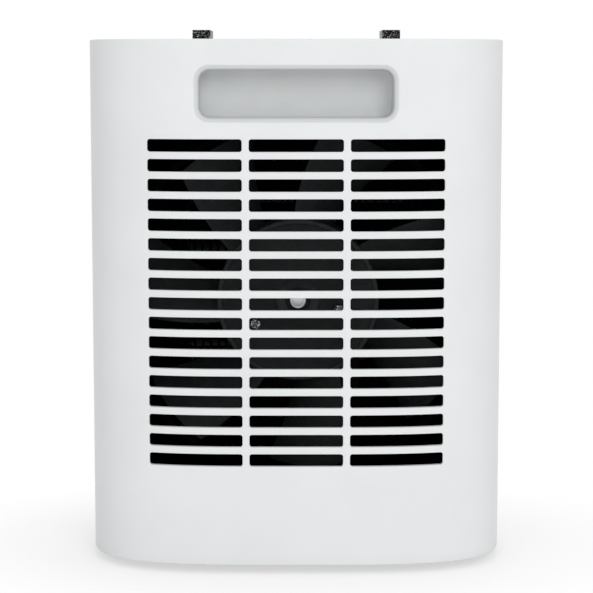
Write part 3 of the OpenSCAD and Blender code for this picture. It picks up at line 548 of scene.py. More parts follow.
def finished(name, mesh, surface, body, slot, *nodes, even=False):
    """A mesh made a piece that rides on a body and stands for CAD nodes. slot is not used.

    It is smooth but for its sharp edges. even keeps large flat faces flat beside round ones.
    """
    work = bmesh.new()
    work.from_mesh(mesh)
    open_edges = sum(len(e.link_faces) != 2 for e in work.edges)
    work.free()
    mesh.shade_smooth()
    mesh.set_sharp_from_angle(angle=sharp_angle)
    mesh.materials.clear()
    mesh.materials.append(surface)
    made = placed_mesh(name, mesh)
    if even:
        made.modifiers.new("even shading", "WEIGHTED_NORMAL").keep_sharp = True
        made.data = settled_mesh(made)
        made.modifiers.clear()
    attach(made, body)
    if nodes:
        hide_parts(*nodes)
    print(f"{name}: {len(mesh.polygons)} faces, {open_edges} open edges")
    return made


def build(name, parts, surface, body, slot, *nodes):
    """Patches made one finished piece."""
    return finished(name, welded(name, parts), surface, body, slot, *nodes)


# %% Curves and boxes
def quarter_round(radius, steps=3):
    """A quarter circle as pairs: what is still to go sideways, and how far it has gone along."""
    return [(radius * (1 - math.sin(t)), radius * (1 - math.cos(t)))
            for t in np.radians(np.linspace(0, 90, steps + 1))]


def arc(centre_x, centre_z, radius, degrees):
    """Points (x, z) on a circle, one at each angle."""
    turns = np.radians(degrees)
    return np.stack([centre_x + radius * np.cos(turns), centre_z + radius * np.sin(turns)], axis=-1)


def along(points, shares):
    """Points at given shares of the length of a polyline."""
    points = np.asarray(points, float)
    steps = np.linalg.norm(np.diff(points, axis=0), axis=1)
    travelled = np.concatenate([[0], np.cumsum(steps)])
    shares = np.asarray(shares, float) * travelled[-1]
    return np.stack([np.interp(shares, travelled, column) for column in points.T], axis=-1)


def node_box(node):
    """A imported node's lowest and highest corners, and its middle."""
    low, high = (np.array(corner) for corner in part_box(node))
    return low, high, (low + high) / 2


# %% [markdown]
# ## The plan of the body
#
# Seen from above the body is a superellipse: an ellipse whose power is above two, so that its
# sides are nearly flat and its corners round. One formula gives the outer face, and the same
# formula with smaller half sizes gives the inner one, so the wall is even.

# %% Sizes from the frame
shell_low, shell_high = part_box("inlet_shell")
half_w = shell_high.x
half_d = -shell_low.y
split = shell_high.y
z_under, z_top = shell_low.z, shell_high.z
wall = 2.4 * mm
squareness = 3.69
edge = 0.5 * mm  # rounding of the rims of the shells
groove = 0.35 * mm  # chamfer along the seam


def outline(angle, inset):
    """Points of the plan at polar angles, for a face set in from the outside."""
    a, b = half_w - inset, half_d - inset
    power = np.abs(np.cos(angle) / a) ** squareness + np.abs(np.sin(angle) / b) ** squareness
    radius = power ** (-1 / squareness)
    return np.stack([radius * np.cos(angle), radius * np.sin(angle)], axis=-1)


def depth_at(x, inset):
    """How far the face lies from the middle plane at a distance x from the centre."""
    a, b = half_w - inset, half_d - inset
    return b * (1 - (np.abs(x) / a) ** squareness) ** (1 / squareness)


def width_at(y, inset):
    """Half width of the plan at a distance y from the middle plane."""
    a, b = half_w - inset, half_d - inset
    return a * (1 - (np.abs(y) / b) ** squareness) ** (1 / squareness)


def on_face(loop, inset, side):
    """Puts a loop drawn in X and Z on the body. side is -1 at the inlet and 1 at the outlet."""
    return [(x, side * depth_at(x, inset), z) for x, z in loop]


print("half width, half depth, seam, mm:", [round(v / mm, 2) for v in (half_w, half_d, split)])

# %% [markdown]
# ## Slots by rule
#
# The front has three columns of seventeen slots, and the back grille four columns of louvres.
# Cutting them with booleans would leave long thin triangles and dark creases on a curved wall.
# Instead one flat cell is drawn, which is a slot with the wall round it, and a Geometry Nodes
# tree repeats it on a grid, welds the copies and bends the sheet on to the plan.

# %% One flat cell
corner_steps = 4  # on each corner of a slot


def joined_up(runs, steps):
    """Runs of points made one loop, with so many even steps from each run to the next."""
    loop = []
    for number, (run, count) in enumerate(zip(runs, steps)):
        first, last = run[-1], runs[(number + 1) % len(runs)][0]
        loop += [*run] + [first + (last - first) * i / count for i in range(1, count)]
    return np.array(loop)


def rounded(width, height, radius, steps_x, steps_z):
    """A rounded rectangle in X and Z, from the right end of its lower edge, anticlockwise."""
    x, z = width / 2 - radius, height / 2 - radius
    corners = [arc(cx, cz, radius, np.linspace(start, start + 90, corner_steps + 1))
               for cx, cz, start in ((x, -z, -90), (x, z, 0), (-x, z, 90), (-x, -z, 180))]
    return joined_up(corners, (steps_z, steps_x, steps_z, steps_x))


def frame_loop(width, height, inner_x, inner_z, steps_x, steps_z):
    """The cell's outer rectangle, with one point for each point of its slot."""
    half = corner_steps // 2
    corners = []
    for sx, sz in ((1, -1), (1, 1), (-1, 1), (-1, -1)):
        corner = np.array((sx * width / 2, sz * height / 2))
        ends = [np.array((sx * inner_x, corner[1])), np.array((corner[0], sz * inner_z))]
        first, last = ends[::-1] if sx == sz else ends
        corners.append([first + (corner - first) * i / half for i in range(half)]
                       + [corner + (last - corner) * i / half for i in range(half + 1)])
    return joined_up(corners, (steps_z, steps_x, steps_z, steps_x))


def flat_cell(name, cell, slot, radius, fillet, steps, thick):
    """A slot and the wall round it, drawn flat: Y is the depth below the outer face."""
    border = frame_loop(*cell, slot[0] / 2 - radius, slot[1] / 2 - radius, *steps)

    def slot_loop(grown):
        return rounded(slot[0] + 2 * grown, slot[1] + 2 * grown, radius + grown, *steps)

    rings = [(border, 0.0)] + [(slot_loop(grown), drop) for grown, drop in quarter_round(fillet)]
    rings += [(slot_loop(0), thick - fillet / 2), (slot_loop(fillet / 2), thick), (border, thick)]
    points, faces = quads([[(x, drop, z) for x, z in loop] for loop, drop in rings], close=True)
    mesh = bpy.data.meshes.new(name)
    mesh.from_pydata(points.tolist(), [], faces)
    return mesh


# %% Start, end and run a tree
def new_tree(name, inputs):
    """A Geometry Nodes tree with geometry and named inputs coming in, and geometry going out."""
    tree = bpy.data.node_groups.new(name, "GeometryNodeTree")
    tree.interface.new_socket("Geometry", in_out="INPUT", socket_type="NodeSocketGeometry")
    for label, kind in inputs.items():
        tree.interface.new_socket(label, in_out="INPUT", socket_type="NodeSocket" + kind)
    tree.interface.new_socket("Geometry", in_out="OUTPUT", socket_type="NodeSocketGeometry")
    return tree, add(tree, "NodeGroupInput").outputs


def end_tree(tree, geometry, surface):
    """Makes the copies real, gives them their material and sends them out."""
    real = add(tree, "GeometryNodeRealizeInstances", {"Geometry": geometry})
    painted = add(tree, "GeometryNodeSetMaterial", {"Geometry": real, "Material": surface})
    add(tree, "NodeGroupOutput", {0: painted})
    return tree


def grow(mesh, tree, **values):
    """Runs a Geometry Nodes tree on a mesh and returns the plain mesh that comes out."""
    carrier = placed_mesh(mesh.name, mesh)
    modifier = carrier.modifiers.new(tree.name, "NODES")
    modifier.node_group = tree
    sockets = {s.name.replace(" ", "_").lower(): s.identifier for s in tree.interface.items_tree
               if s.in_out == "INPUT"}
    for label, value in values.items():
        modifier[sockets[label]] = value
    result = settled_mesh(carrier)
    carrier.modifiers.remove(modifier)
    bpy.data.objects.remove(carrier)
    return result


# %% The tree that repeats and bends the cell
def grille_tree(name, surface):
    """Geometry Nodes: copies of the cell on a grid, welded, then bent on to the superellipse."""
    tree, inlet = new_tree(name, {
        "Columns": "Int", "Rows": "Int", "Cell width": "Float", "Cell height": "Float",
        "Centre height": "Float", "Half width": "Float", "Half depth": "Float",
        "Squareness": "Float", "Side": "Float"})
    power = inlet["Squareness"]
    spans = []
    for count, size in (("Columns", "Cell width"), ("Rows", "Cell height")):
        gaps = add(tree, "ShaderNodeMath", {0: inlet[count], 1: 1.0}, operation="SUBTRACT")
        spans.append(add(tree, "ShaderNodeMath", {0: gaps, 1: inlet[size]}, operation="MULTIPLY"))
    grid = add(tree, "GeometryNodeMeshGrid", {"Size X": spans[0], "Size Y": spans[1],
                                              "Vertices X": inlet["Columns"],
                                              "Vertices Y": inlet["Rows"]})
    lift = add(tree, "ShaderNodeCombineXYZ", {"Z": inlet["Centre height"]})
    upright = add(tree, "GeometryNodeTransform", {"Geometry": grid, "Translation": lift,
                                                  "Rotation": (math.pi / 2, 0, 0)})
    copies = add(tree, "GeometryNodeInstanceOnPoints", {"Points": upright,
                                                        "Instance": inlet["Geometry"]})
    real = add(tree, "GeometryNodeRealizeInstances", {"Geometry": copies})
    sheet = add(tree, "GeometryNodeMergeByDistance", {"Geometry": real, "Distance": weld_gap / 2})

    # y = side * (half depth - drop) * (1 - (|x| / (half width - drop)) ^ n) ^ (1 / n)
    position = add(tree, "GeometryNodeInputPosition")
    x, drop, z = add(tree, "ShaderNodeSeparateXYZ", {0: position}).outputs
    a = add(tree, "ShaderNodeMath", {0: inlet["Half width"], 1: drop}, operation="SUBTRACT")
    b = add(tree, "ShaderNodeMath", {0: inlet["Half depth"], 1: drop}, operation="SUBTRACT")
    off = add(tree, "ShaderNodeMath", {0: x}, operation="ABSOLUTE")
    across = add(tree, "ShaderNodeMath", {0: off, 1: a}, operation="DIVIDE")
    used = add(tree, "ShaderNodeMath", {0: across, 1: power}, operation="POWER")
    left = add(tree, "ShaderNodeMath", {0: 1.0, 1: used}, operation="SUBTRACT")
    root = add(tree, "ShaderNodeMath", {0: 1.0, 1: power}, operation="DIVIDE")
    share = add(tree, "ShaderNodeMath", {0: left, 1: root}, operation="POWER")
    depth = add(tree, "ShaderNodeMath", {0: b, 1: share}, operation="MULTIPLY")
    y = add(tree, "ShaderNodeMath", {0: depth, 1: inlet["Side"]}, operation="MULTIPLY")
    bent = add(tree, "ShaderNodeCombineXYZ", {"X": x, "Y": y, "Z": z})
    moved = add(tree, "GeometryNodeSetPosition", {"Geometry": sheet, "Position": bent})
    return end_tree(tree, moved, surface)


# %% Run it for the inlet
slot_size = (43.65 * mm, 5.85 * mm)
slot_bar, slot_pitch, slot_corner = 3.2 * mm, 9.15 * mm, 1.2 * mm
slot_columns, slot_rows = 3, 17
cell_size = (slot_size[0] + slot_bar, slot_pitch)
slot_fillet = 0.15 * mm
slot_steps = (22, 2)
fan_x, _, fan_z = node_box("motor_shaft")[2]

cell = flat_cell("inlet cell", cell_size, slot_size, slot_corner, slot_fillet, slot_steps, wall)
bent_grid = grille_tree("slots on a superellipse", white_abs)
body_plan = {"half_width": half_w, "half_depth": half_d, "squareness": squareness}
inlet_slots = grow(cell, bent_grid, columns=slot_columns, rows=slot_rows, cell_width=cell_size[0],
                   cell_height=cell_size[1], centre_height=fan_z, side=-1.0, **body_plan)
print("slot block:", len(inlet_slots.polygons), "faces; fan centre, mm:", round(fan_z / mm, 2))

# %% [markdown]
# ## The inlet shell
#
# The rest of the shell grows round the slot block: plain sheets above and below it, a ring of
# quads round the finger opening, side walls to the seam, and rounded rims at top and bottom.
# All of them use the same rows and columns as the block, so the joins don't show. The wall has
# a real inner face, and the ledges that carry the base and the top panel.

# %% Paths round the plan
rim_inner = 0.25 * mm  # rounding of the inner edge of a rim
wall_steps = 72  # from the block's edge to the seam
steps_below, steps_above = 12, 3  # from the block to the lower and to the upper rim
sweep_points = 900  # on the curve that those steps are measured on


def cell_edges(size, inner, steps, count, centre):
    """Where the border points of a run of cells lie, from one end of the run to the other."""
    corner = (size / 2 + inner) / 2
    one = np.concatenate([[-size / 2, -corner], np.linspace(-inner, inner, steps + 1), [corner]])
    starts = (np.arange(count) - (count - 1) / 2) * size + centre
    return np.concatenate([start + one for start in starts] + [[starts[-1] + size / 2]])


def side_path(inset, side, reach):
    """Plan points (x, y) of the right-hand wall, from the block's edge at x = reach to the seam."""
    stop = split + side * groove
    first = math.atan2(side * depth_at(reach, inset), reach)
    last = math.atan2(stop, width_at(stop, inset))
    sweep = outline(np.linspace(first, last, sweep_points), inset)
    points = along(sweep, np.linspace(0, 1, wall_steps + 1))
    return np.concatenate([points, [[width_at(split, max(inset, groove)), split]]])


def full_path(inset, side, columns):
    """Plan points of one shell, from the left-hand end of the seam to the right-hand one."""
    right = side_path(inset, side, columns[-1])
    left = right[::-1] * [-1, 1]
    block = np.stack([columns[1:-1], side * depth_at(columns[1:-1], inset)], axis=-1)
    return np.concatenate([left, block, right])


def upright(path, rows):
    """A sheet that stands on a plan path, with a row of points at each height."""
    return [[(x, y, z) for x, y in path] for z in rows]


def rim(side, columns, z_edge, inwards):
    """The rounded rim of a shell. inwards is -1 at the top, where the wall lies below it, or 1."""
    rings = [(gone, z_edge + inwards * to_go) for to_go, gone in quarter_round(edge)]
    rings += [(wall - rim_inner, z_edge), (wall, z_edge + inwards * rim_inner)]
    return [[(x, y, z) for x, y in full_path(inset, side, columns)] for inset, z in rings]


def shell_rows(block_rows):
    """Heights of the rows on the outer and on the inner face; only the ends of the two differ."""
    below = np.linspace(z_under, block_rows[0], steps_below + 1)[1:-1]
    above = np.linspace(block_rows[-1], z_top, steps_above + 1)[1:-1]
    inside = np.concatenate([below, block_rows, above])
    return {inset: np.concatenate([[z_under + trim], inside, [z_top - trim]])
            for inset, trim in ((0.0, edge), (wall, rim_inner))}


# %% The shell's skin
def side_wall(path, rows, window=None):
    """The sheet of a side wall. window is the first and last column and row of a gap in it."""
    points, faces = quads(upright(path, rows))
    if window:
        across, up = window
        per_row = len(path) - 1
        faces = [face for number, face in enumerate(faces)
                 if not (across[0] <= number % per_row < across[1]
                         and up[0] <= number // per_row < up[1])]
    return points, faces


def shell_skin(side, columns, block_rows, window=None):
    """All of a shell but its block: sheets below and above, side walls, rims and seam edges."""
    rows = shell_rows(block_rows)
    below = rows[0.0].searchsorted(block_rows[0]) + 1
    above = rows[0.0].searchsorted(block_rows[-1])
    parts = []
    for inset in (0.0, wall):
        right = side_path(inset, side, columns[-1])
        parts += [side_wall(right, rows[inset], window), side_wall(right * [-1, 1], rows[inset])]
        face = np.stack([columns, side * depth_at(columns, inset)], axis=-1)
        parts += [quads(upright(face, rows[inset][:below])),
                  quads(upright(face, rows[inset][above:]))]
    top, bottom = rim(side, columns, z_top, -1), rim(side, columns, z_under, 1)
    parts += [quads(top), quads(bottom)]
    for end in (0, -1):
        seam = [[(full_path(inset, side, columns)[end][0], split, z) for z in rows[inset]]
                for inset in (0.0, wall)]
        parts.append(quads(list(zip(*seam))))
        parts += [polygon([row[end] for row in ring]) for ring in (top, bottom)]
    return parts


# %% A block of wall round an opening
ring_steps = 10  # from the opening to the block's border
half_corner = np.linspace(0, 45, 9)  # degrees, from a side's end to the middle of its corner


def matched_loop(width, height, radius, centre_z, columns, rows):
    """A rounded rectangle with one point for each border point of a block."""
    x, z = width / 2 - radius, height / 2 - radius
    corners = [(-x, -z, 225), (x, -z, 315), (x, z, 45), (-x, z, 135), (-x, -z, 225)]
    loop = []
    for number, stops in enumerate((columns, rows, columns, rows)):
        (x1, z1, start), (x2, z2, stop) = corners[number:number + 2]
        one_side = np.concatenate([arc(x1, z1, radius, start + half_corner),
                                   arc(x2, z2, radius, stop - half_corner[::-1])])
        shares = (np.asarray(stops) - stops[0]) / (stops[-1] - stops[0])
        if number > 1:
            shares = 1 - shares[::-1]
        loop.append(along(one_side, shares)[:-1])
    return np.concatenate(loop) + [0, centre_z]


def border_loop(columns, rows):
    """The border of a block, anticlockwise from its lower left corner."""
    low, high = rows[0], rows[-1]
    left, right = columns[0], columns[-1]
    return np.array([(x, low) for x in columns[:-1]] + [(right, z) for z in rows[:-1]]
                    + [(x, high) for x in columns[:0:-1]] + [(left, z) for z in rows[:0:-1]])


def between(first, last, shares):
    """Loops that lie at given shares of the way from one loop to another."""
    return [first + (last - first) * s for s in shares]


def holed_block(side, columns, rows, size, radius, centre_z, fillet, thick):
    """A block of wall round an opening, with the opening's edge rounded."""
    border = border_loop(columns, rows)
    steps = quarter_round(fillet)
    hole = [matched_loop(size[0] + 2 * grown, size[1] + 2 * grown, radius + grown, centre_z,
                         columns, rows) for grown, _ in steps]
    shares = np.linspace(0, 1, ring_steps + 1)
    rings = [on_face(loop, 0.0, side) for loop in between(border, hole[0], shares)]
    rings += [on_face(loop, drop, side) for loop, (_, drop) in zip(hole[1:], steps[1:])]
    rings += [on_face(loop, thick, side) for loop in between(hole[-1], border, shares)]
    return quads(rings, close=True)


# %% Ledges and bosses
ledge_w, ledge_t = 12 * mm, 2.4 * mm
plate_t = 3 * mm
sink = 0.6 * mm  # how far a boss or rib runs into what it stands on
boss_r, boss_hole_r, boss_hole_deep = 4.5 * mm, 1.6 * mm, 9 * mm
boss_floor = 2 * mm
screw_head_r, screw_head_t = 2.625 * mm, 1.8 * mm
duct_t, frame_t = 3 * mm, 3 * mm  # the plates that the screws hold
rim_boss = (half_w - wall - 9 * mm, 34 * mm)  # where the bosses near the rims stand
rim_boss_h = 8 * mm
boss_steps = 32  # round a boss


def four(x, y):
    """The four places (x, y) that mirror each other across the middle planes."""
    return [(s * x, t * y) for s in (-1, 1) for t in (-1, 1)]


def band(side, columns, z_low):
    """A ledge inside the wall: a closed bar that follows the plan."""
    z_high = z_low + ledge_t
    outer, inner = (full_path(inset, side, columns) for inset in (wall - sink, wall + ledge_w))
    return tube([[(*o, z_low), (*o, z_high), (*i, z_high), (*i, z_low)]
                 for o, i in zip(outer, inner)])


def turned(profile, steps=48, place=None):
    """A surface of revolution. The profile is (radius, height); place maps its points."""
    angles = np.linspace(0, 2 * math.pi, steps, endpoint=False)
    grid = [[(r * math.cos(a), r * math.sin(a), h) for a in angles] for r, h in profile]
    points, faces = quads(grid, close=True)
    return (place(points) if place else points), faces


def moved(x, y):
    """A place for turned(): the axis shifted to (x, y)."""
    return lambda points: points + np.array([x, y, 0])


def wall_bosses(side, screws, end):
    """Bosses that run in from the wall to a plate at y = end, one for each of four screws."""
    low, high, _ = node_box(screws)
    angles = np.linspace(0, 2 * math.pi, boss_steps, endpoint=False)
    parts = []
    for x in (low[0] + screw_head_r, high[0] - screw_head_r):
        for z in (low[2] + screw_head_r, high[2] - screw_head_r):
            rings = [[(x + r * math.cos(a), y, z + r * math.sin(a)) for a in angles]
                     for r, y in ((boss_r, end), (boss_hole_r, end),
                                  (boss_hole_r, end + side * boss_hole_deep))]
            root = [(px, side * depth_at(px, wall - sink), pz) for px, _, pz in rings[0]]
            parts += tube([root] + rings)
    return parts


def base_bosses(side):
    """Two bosses that stand on the lower ledge and take the base's screws."""
    low = z_under + plate_t
    high = low + ledge_t + rim_boss_h
    profile = [(boss_hole_r, low), (boss_r, low), (boss_r, high), (0, high), (0, high - boss_floor),
               (boss_hole_r, high - boss_floor), (boss_hole_r, low)]
    return [turned(profile, boss_steps, moved(s * rim_boss[0], side * rim_boss[1]))
            for s in (-1, 1)]


def supports(side, columns, screws, plate_y):
    """All that stands inside one shell: its two ledges and its bosses."""
    return (band(side, columns, z_under + plate_t) + band(side, columns, z_top - plate_t - ledge_t)
            + base_bosses(side) + wall_bosses(side, screws, plate_y))


# %% Assemble the inlet shell
columns = cell_edges(cell_size[0], slot_size[0] / 2 - slot_corner, slot_steps[0], slot_columns, 0)
slot_rows_z = cell_edges(cell_size[1], slot_size[1] / 2 - slot_corner, slot_steps[1], slot_rows,
                         fan_z)
pocket_low, pocket_high, (_, _, grip_z) = node_box("grip_pocket")
pocket_w, _, pocket_h = pocket_high - pocket_low
grip_rim = 1.9 * mm
pocket_r = 6.9 * mm
pocket_gap = 0.04 * mm  # between the shell and the lip of the pocket
pocket_fillet = 0.08 * mm
grip_block_top = pocket_high[2] + 6 * mm
grip_steps = 18  # up the block round the finger opening
grip_rows = np.linspace(slot_rows_z[-1], grip_block_top, grip_steps + 1)
inlet_rows = np.concatenate([slot_rows_z, grip_rows[1:]])

parts = shell_skin(-1, columns, inlet_rows)
parts.append(mesh_parts(inlet_slots))
parts.append(holed_block(-1, columns, grip_rows,
                         (pocket_w + 2 * pocket_gap, pocket_h + 2 * pocket_gap), pocket_r, grip_z,
                         pocket_fillet, wall))
duct_plate_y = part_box("duct_screws")[1].y - screw_head_t - duct_t
parts += supports(-1, columns, "duct_screws", duct_plate_y)
build("inlet_shell_moulding", parts, white_abs, "heater_body", "shell", "inlet_shell")

# %% [markdown]
# ## The grip pocket
#
# A separate white tray closes the finger opening. Its lip rolls over from the face of the
# shell into the pocket, and the pocket's back meets its walls in a soft curve; with the painted
# shade in its material, greyer and deeper towards the back, this gives its even grey gradient.
# It is a stack of rounded rectangles, each a little smaller or deeper than the last.

# %% Grip pocket
pocket_back = pocket_high[1]
pocket_floor = pocket_back - grip_rim
back_curve = 1.6 * mm
tightest = 0.6 * mm  # corner radius at the pocket's back
lip_power = 1.6  # half of the lip's fall follows this power, and half follows a circle
tray_steps = 12  # on the lip, and on the curve at the pocket's back


def pocket_loop(grown):
    """The pocket's outline, grown from the finger opening by that much."""
    spare = 2 * (grown - grip_rim)
    return matched_loop(pocket_w + spare, pocket_h + spare,
                        max(pocket_r - grip_rim + grown, tightest), grip_z, columns, grip_rows)


rings = [[(x, pocket_back, z) for x, z in pocket_loop(grip_rim)]]
for to_go, gone in quarter_round(1, tray_steps):
    drop = grip_rim * ((1 - to_go) ** lip_power + gone) / 2
    rings.append([(x, drop - depth_at(x, 0), z) for x, z in pocket_loop(grip_rim * to_go)])
for to_go, gone in quarter_round(back_curve, tray_steps):
    rings.append([(x, pocket_floor - to_go, z) for x, z in pocket_loop(-gone)])
build("finger_pocket", tube(rings), pocket_abs_painted_shade, "heater_body", "pocket", "grip_pocket")

# %% [markdown]
# ## The outlet side
#
# The outlet shell is the same skin with one large opening, and a small round hole low in its
# side for the bush of the supply cord. Such a hole in a wall of quads is a gap that rings of
# points fill, from the gap's square border to the circle. The grille in the opening uses the
# slot tree again, with four columns of deep cells. Its louvres slope down and outwards, so that
# nobody sees in, and the flat cell is sheared for that before it is repeated: each point rises
# with its depth. A flange behind the shell's edge and a sleeve round the louvres close the back.

# %% Hole for the cord's bush
outlet_w, outlet_h, outlet_r = 128 * mm, 150 * mm, 6 * mm
block_w, block_h, block_lines = 76 * mm, 86 * mm, 77  # half sizes and lines of the outlet's block
outlet_columns = np.linspace(-block_w, block_w, block_lines)
outlet_rows = np.linspace(fan_z - block_h, fan_z + block_h, block_lines)
gland_low, gland_high, (_, gland_y, gland_z) = node_box("cord_gland")
gland_r = (gland_high[1] - gland_low[1]) / 2
gland_neck = gland_r - 2 * mm
seat_x = half_w - wall
seat_t, seat_border = 3 * mm, 3 * mm
seat_gap, neck_gap = 0.4 * mm, 0.1 * mm  # round the bush's flange and round its neck
hole_reach = 10.3 * mm  # half the gap, which stops short of the seam
hole_steps = 4  # from the gap's border to the hole


def gap(values, centre):
    """The first and last number of the values that lie within reach of the centre."""
    near = np.flatnonzero(np.abs(values - centre) < hole_reach)
    return near[0], near[-1]


def bush_hole(window):
    """The gap in the side wall filled up to a round hole, with a seat for the bush's flange."""
    (first, last), (low, high) = window
    sides = {inset: (side_path(inset, 1, outlet_columns[-1])[first:last + 1, 1][::-1],
                     shell_rows(outlet_rows)[inset][low:high + 1]) for inset in (0.0, wall)}

    def circle(radius):
        return matched_loop(2 * radius, 2 * radius, radius, gland_z, *sides[0.0]) + [gland_y, 0]

    def on_side(loops, inset):
        return [[(width_at(y, inset), y, z) for y, z in loop] for loop in loops]

    seat_r, hole_r, collar = gland_r + seat_gap, gland_neck + neck_gap, gland_neck + seat_border
    mouth = circle(seat_r + rim_inner)
    shares = np.linspace(0, 1, hole_steps + 1)
    rings = on_side(between(border_loop(*sides[0.0]), mouth, shares), 0.0)
    for to_go, gone in quarter_round(rim_inner)[1:]:
        rings += on_side([circle(seat_r + to_go)], gone)
    for r, x in ((seat_r, seat_x), (hole_r, seat_x), (hole_r, seat_x - seat_t),
                 (collar, seat_x - seat_t)):
        rings.append([(x, y, z) for y, z in circle(r)])
    rings += on_side(between(circle(collar), border_loop(*sides[wall]), shares), wall)
    return quads(rings, close=True)


# %% Assemble the outlet shell
window = (gap(side_path(0.0, 1, outlet_columns[-1])[:, 1], gland_y),
          gap(shell_rows(outlet_rows)[0.0], gland_z))
parts = shell_skin(1, outlet_columns, outlet_rows, window)
parts.append(bush_hole(window))
parts.append(holed_block(1, outlet_columns, outlet_rows, (outlet_w, outlet_h), outlet_r, fan_z,
                         slot_fillet, wall))
frame_plate_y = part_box("frame_screws")[0].y + screw_head_t + frame_t
parts += supports(1, outlet_columns, "frame_screws", frame_plate_y)
build("outlet_shell_moulding", parts, white_abs, "heater_body", "shell", "outlet_shell")

# %% Louvres
louvre_pitch, louvre_gap, louvre_rib, louvre_depth = 8.4 * mm, 5.6 * mm, 3 * mm, 11 * mm
louvre_rise = math.tan(math.radians(35))
louvre_columns = 4
louvre_rows = int((outlet_h - 2 * louvre_pitch) / louvre_pitch)
louvre_w = (outlet_w - 2 * louvre_pitch - (louvre_columns - 1) * louvre_rib) / louvre_columns
louvre_cell = (louvre_w + louvre_rib, louvre_pitch)
louvre_steps = (14, 2)
cell = flat_cell("outlet cell", louvre_cell, (louvre_w, louvre_gap), slot_corner, slot_fillet,
                 louvre_steps, louvre_depth)
for corner in cell.vertices:
    corner.co.z += corner.co.y * louvre_rise
louvres = grow(cell, bent_grid, columns=louvre_columns, rows=louvre_rows,
               cell_width=louvre_cell[0], cell_height=louvre_cell[1], centre_height=fan_z,
               side=1.0, **body_plan)
print("louvre block:", len(louvres.polygons), "faces")

# %% Frame of the outlet grille
fit = 0.2 * mm
flange = 5 * mm
grille_thick = 2 * wall
front_steps, sleeve_steps = 6, 4  # from the louvres to the opening, and from the flange inwards
halves = (0, 0.5, 1)
columns_out = cell_edges(louvre_cell[0], louvre_w / 2 - slot_corner, louvre_steps[0],
                         louvre_columns, 0)
rows_out = cell_edges(louvre_cell[1], louvre_gap / 2 - slot_corner, louvre_steps[1], louvre_rows,
                      fan_z)


def grille_loop(width, height, radius, z=fan_z):
    """A rounded rectangle with one point for each border point of the louvres."""
    return matched_loop(width, height, radius, z, columns_out, rows_out)


def on_back(loops, inset):
    """Loops put on the outlet's face, set in from the outside."""
    return [on_face(loop, inset, 1) for loop in loops]


block_edge = border_loop(columns_out, rows_out)
opening = [grille_loop(outlet_w - 2 * fit - 2 * e, outlet_h - 2 * fit - 2 * e, outlet_r - e)
           for e in (slot_fillet, slot_fillet / 3, 0)]
wide = grille_loop(outlet_w + 2 * flange, outlet_h + 2 * flange, outlet_r)
sleeve_w = columns_out[-1] - columns_out[0] + 2 * wall
sleeve_h = rows_out[-1] - rows_out[0] + 2 * wall
front, back = (grille_loop(sleeve_w, sleeve_h, slot_corner, fan_z + d * louvre_rise)
               for d in (grille_thick, louvre_depth))
back_edge = block_edge + [0, louvre_depth * louvre_rise]
rings = on_back(between(block_edge, opening[0], np.linspace(0, 1, front_steps + 1)), 0.0)
rings += on_back([opening[1]], slot_fillet / 3) + on_back([opening[2]], slot_fillet)
rings += on_back(between(opening[2], wide, halves), wall)
rings += on_back(between(wide, front, np.linspace(0, 1, sleeve_steps + 1)), grille_thick)
rings += on_back(between(back, back_edge, halves), louvre_depth)
grille = build("outlet_louvres", [quads(rings, close=True), mesh_parts(louvres)], black_pp,
               "heater_body", "outlet_grille", "outlet_grille")
grille.data.materials.append(duct_pp)  # the inside, darker: painted shade deeper in the louvres
# Painted shade: faces behind the wall's inner face take the darker inside finish.
for face in grille.data.polygons:
    if face.center.y < depth_at(face.center.x, wall):
        face.material_index = 1

# %% [markdown]
# ## Plates and booleans
#
# The top panel and the base are flat plates with round holes. A boolean cuts those well, because
# a flat face has no curve that a cut could crease. The rims of a hole are part of the cutter's
# profile, and a Weighted Normal modifier keeps the large faces flat beside the small round ones.

# %% Joined and cut solids
plate_steps, plate_sweep = 300, 3000  # round a plate, and on the curve they are measured on


def carved(name, parts, joined=(), cut=(), rounding=0.0):
    """The mesh of a closed solid, its edges rounded, with solids joined on and cut away."""
    carrier = placed_mesh(name, welded(name, parts))
    if rounding:
        bevel = carrier.modifiers.new("rounding", "BEVEL")
        bevel.width = rounding
        bevel.segments = 3
        bevel.angle_limit = sharp_angle
    groups = []
    for operation, solids in (("UNION", joined), ("DIFFERENCE", cut)):
        if not solids:
            continue
        group = bpy.data.collections.new(operation)
        scene.collection.children.link(group)
        for solid in solids:
            group.objects.link(bpy.data.objects.new(operation, welded("solid", solid)))
        boolean = carrier.modifiers.new(operation, "BOOLEAN")
        boolean.operation = operation
        boolean.operand_type = "COLLECTION"
        boolean.collection = group
        boolean.solver = "EXACT"
        groups.append(group)
    mesh = settled_mesh(carrier)
    for group in groups:
        for helper in list(group.objects):
            bpy.data.objects.remove(helper)
        bpy.data.collections.remove(group)
    bpy.data.objects.remove(carrier)
    return mesh


def shaped(name, solid, surface, body, slot, *nodes, **changes):
    """A carved solid made one finished piece."""
    return finished(name, carved(name, solid, **changes), surface, body, slot, *nodes, even=True)


def plan_plate(inset, z_low, z_high, rounding):
    """A plate whose edge follows the plan of the body."""
    turns = np.linspace(0, 2 * math.pi, plate_sweep)
    curve = quarter_round(rounding)
    edges = [(to_go, z_low + gone) for to_go, gone in curve]
    edges += [(to_go, z_high - gone) for to_go, gone in curve[::-1]]
    rings = []
    for extra, z in edges:
        loop = along(outline(turns, inset + extra), np.linspace(0, 1, plate_steps + 1)[:-1])
        rings.append([(x, y, z) for x, y in loop])
    return tube(rings)


def drum(radius, z_low, z_high, x=0.0, y=0.0, steps=64):
    """A plain round solid, for cutting and for joining."""
    profile = [(0, z_low), (radius, z_low), (radius, z_high), (0, z_high)]
    return [turned(profile, steps, moved(x, y))]


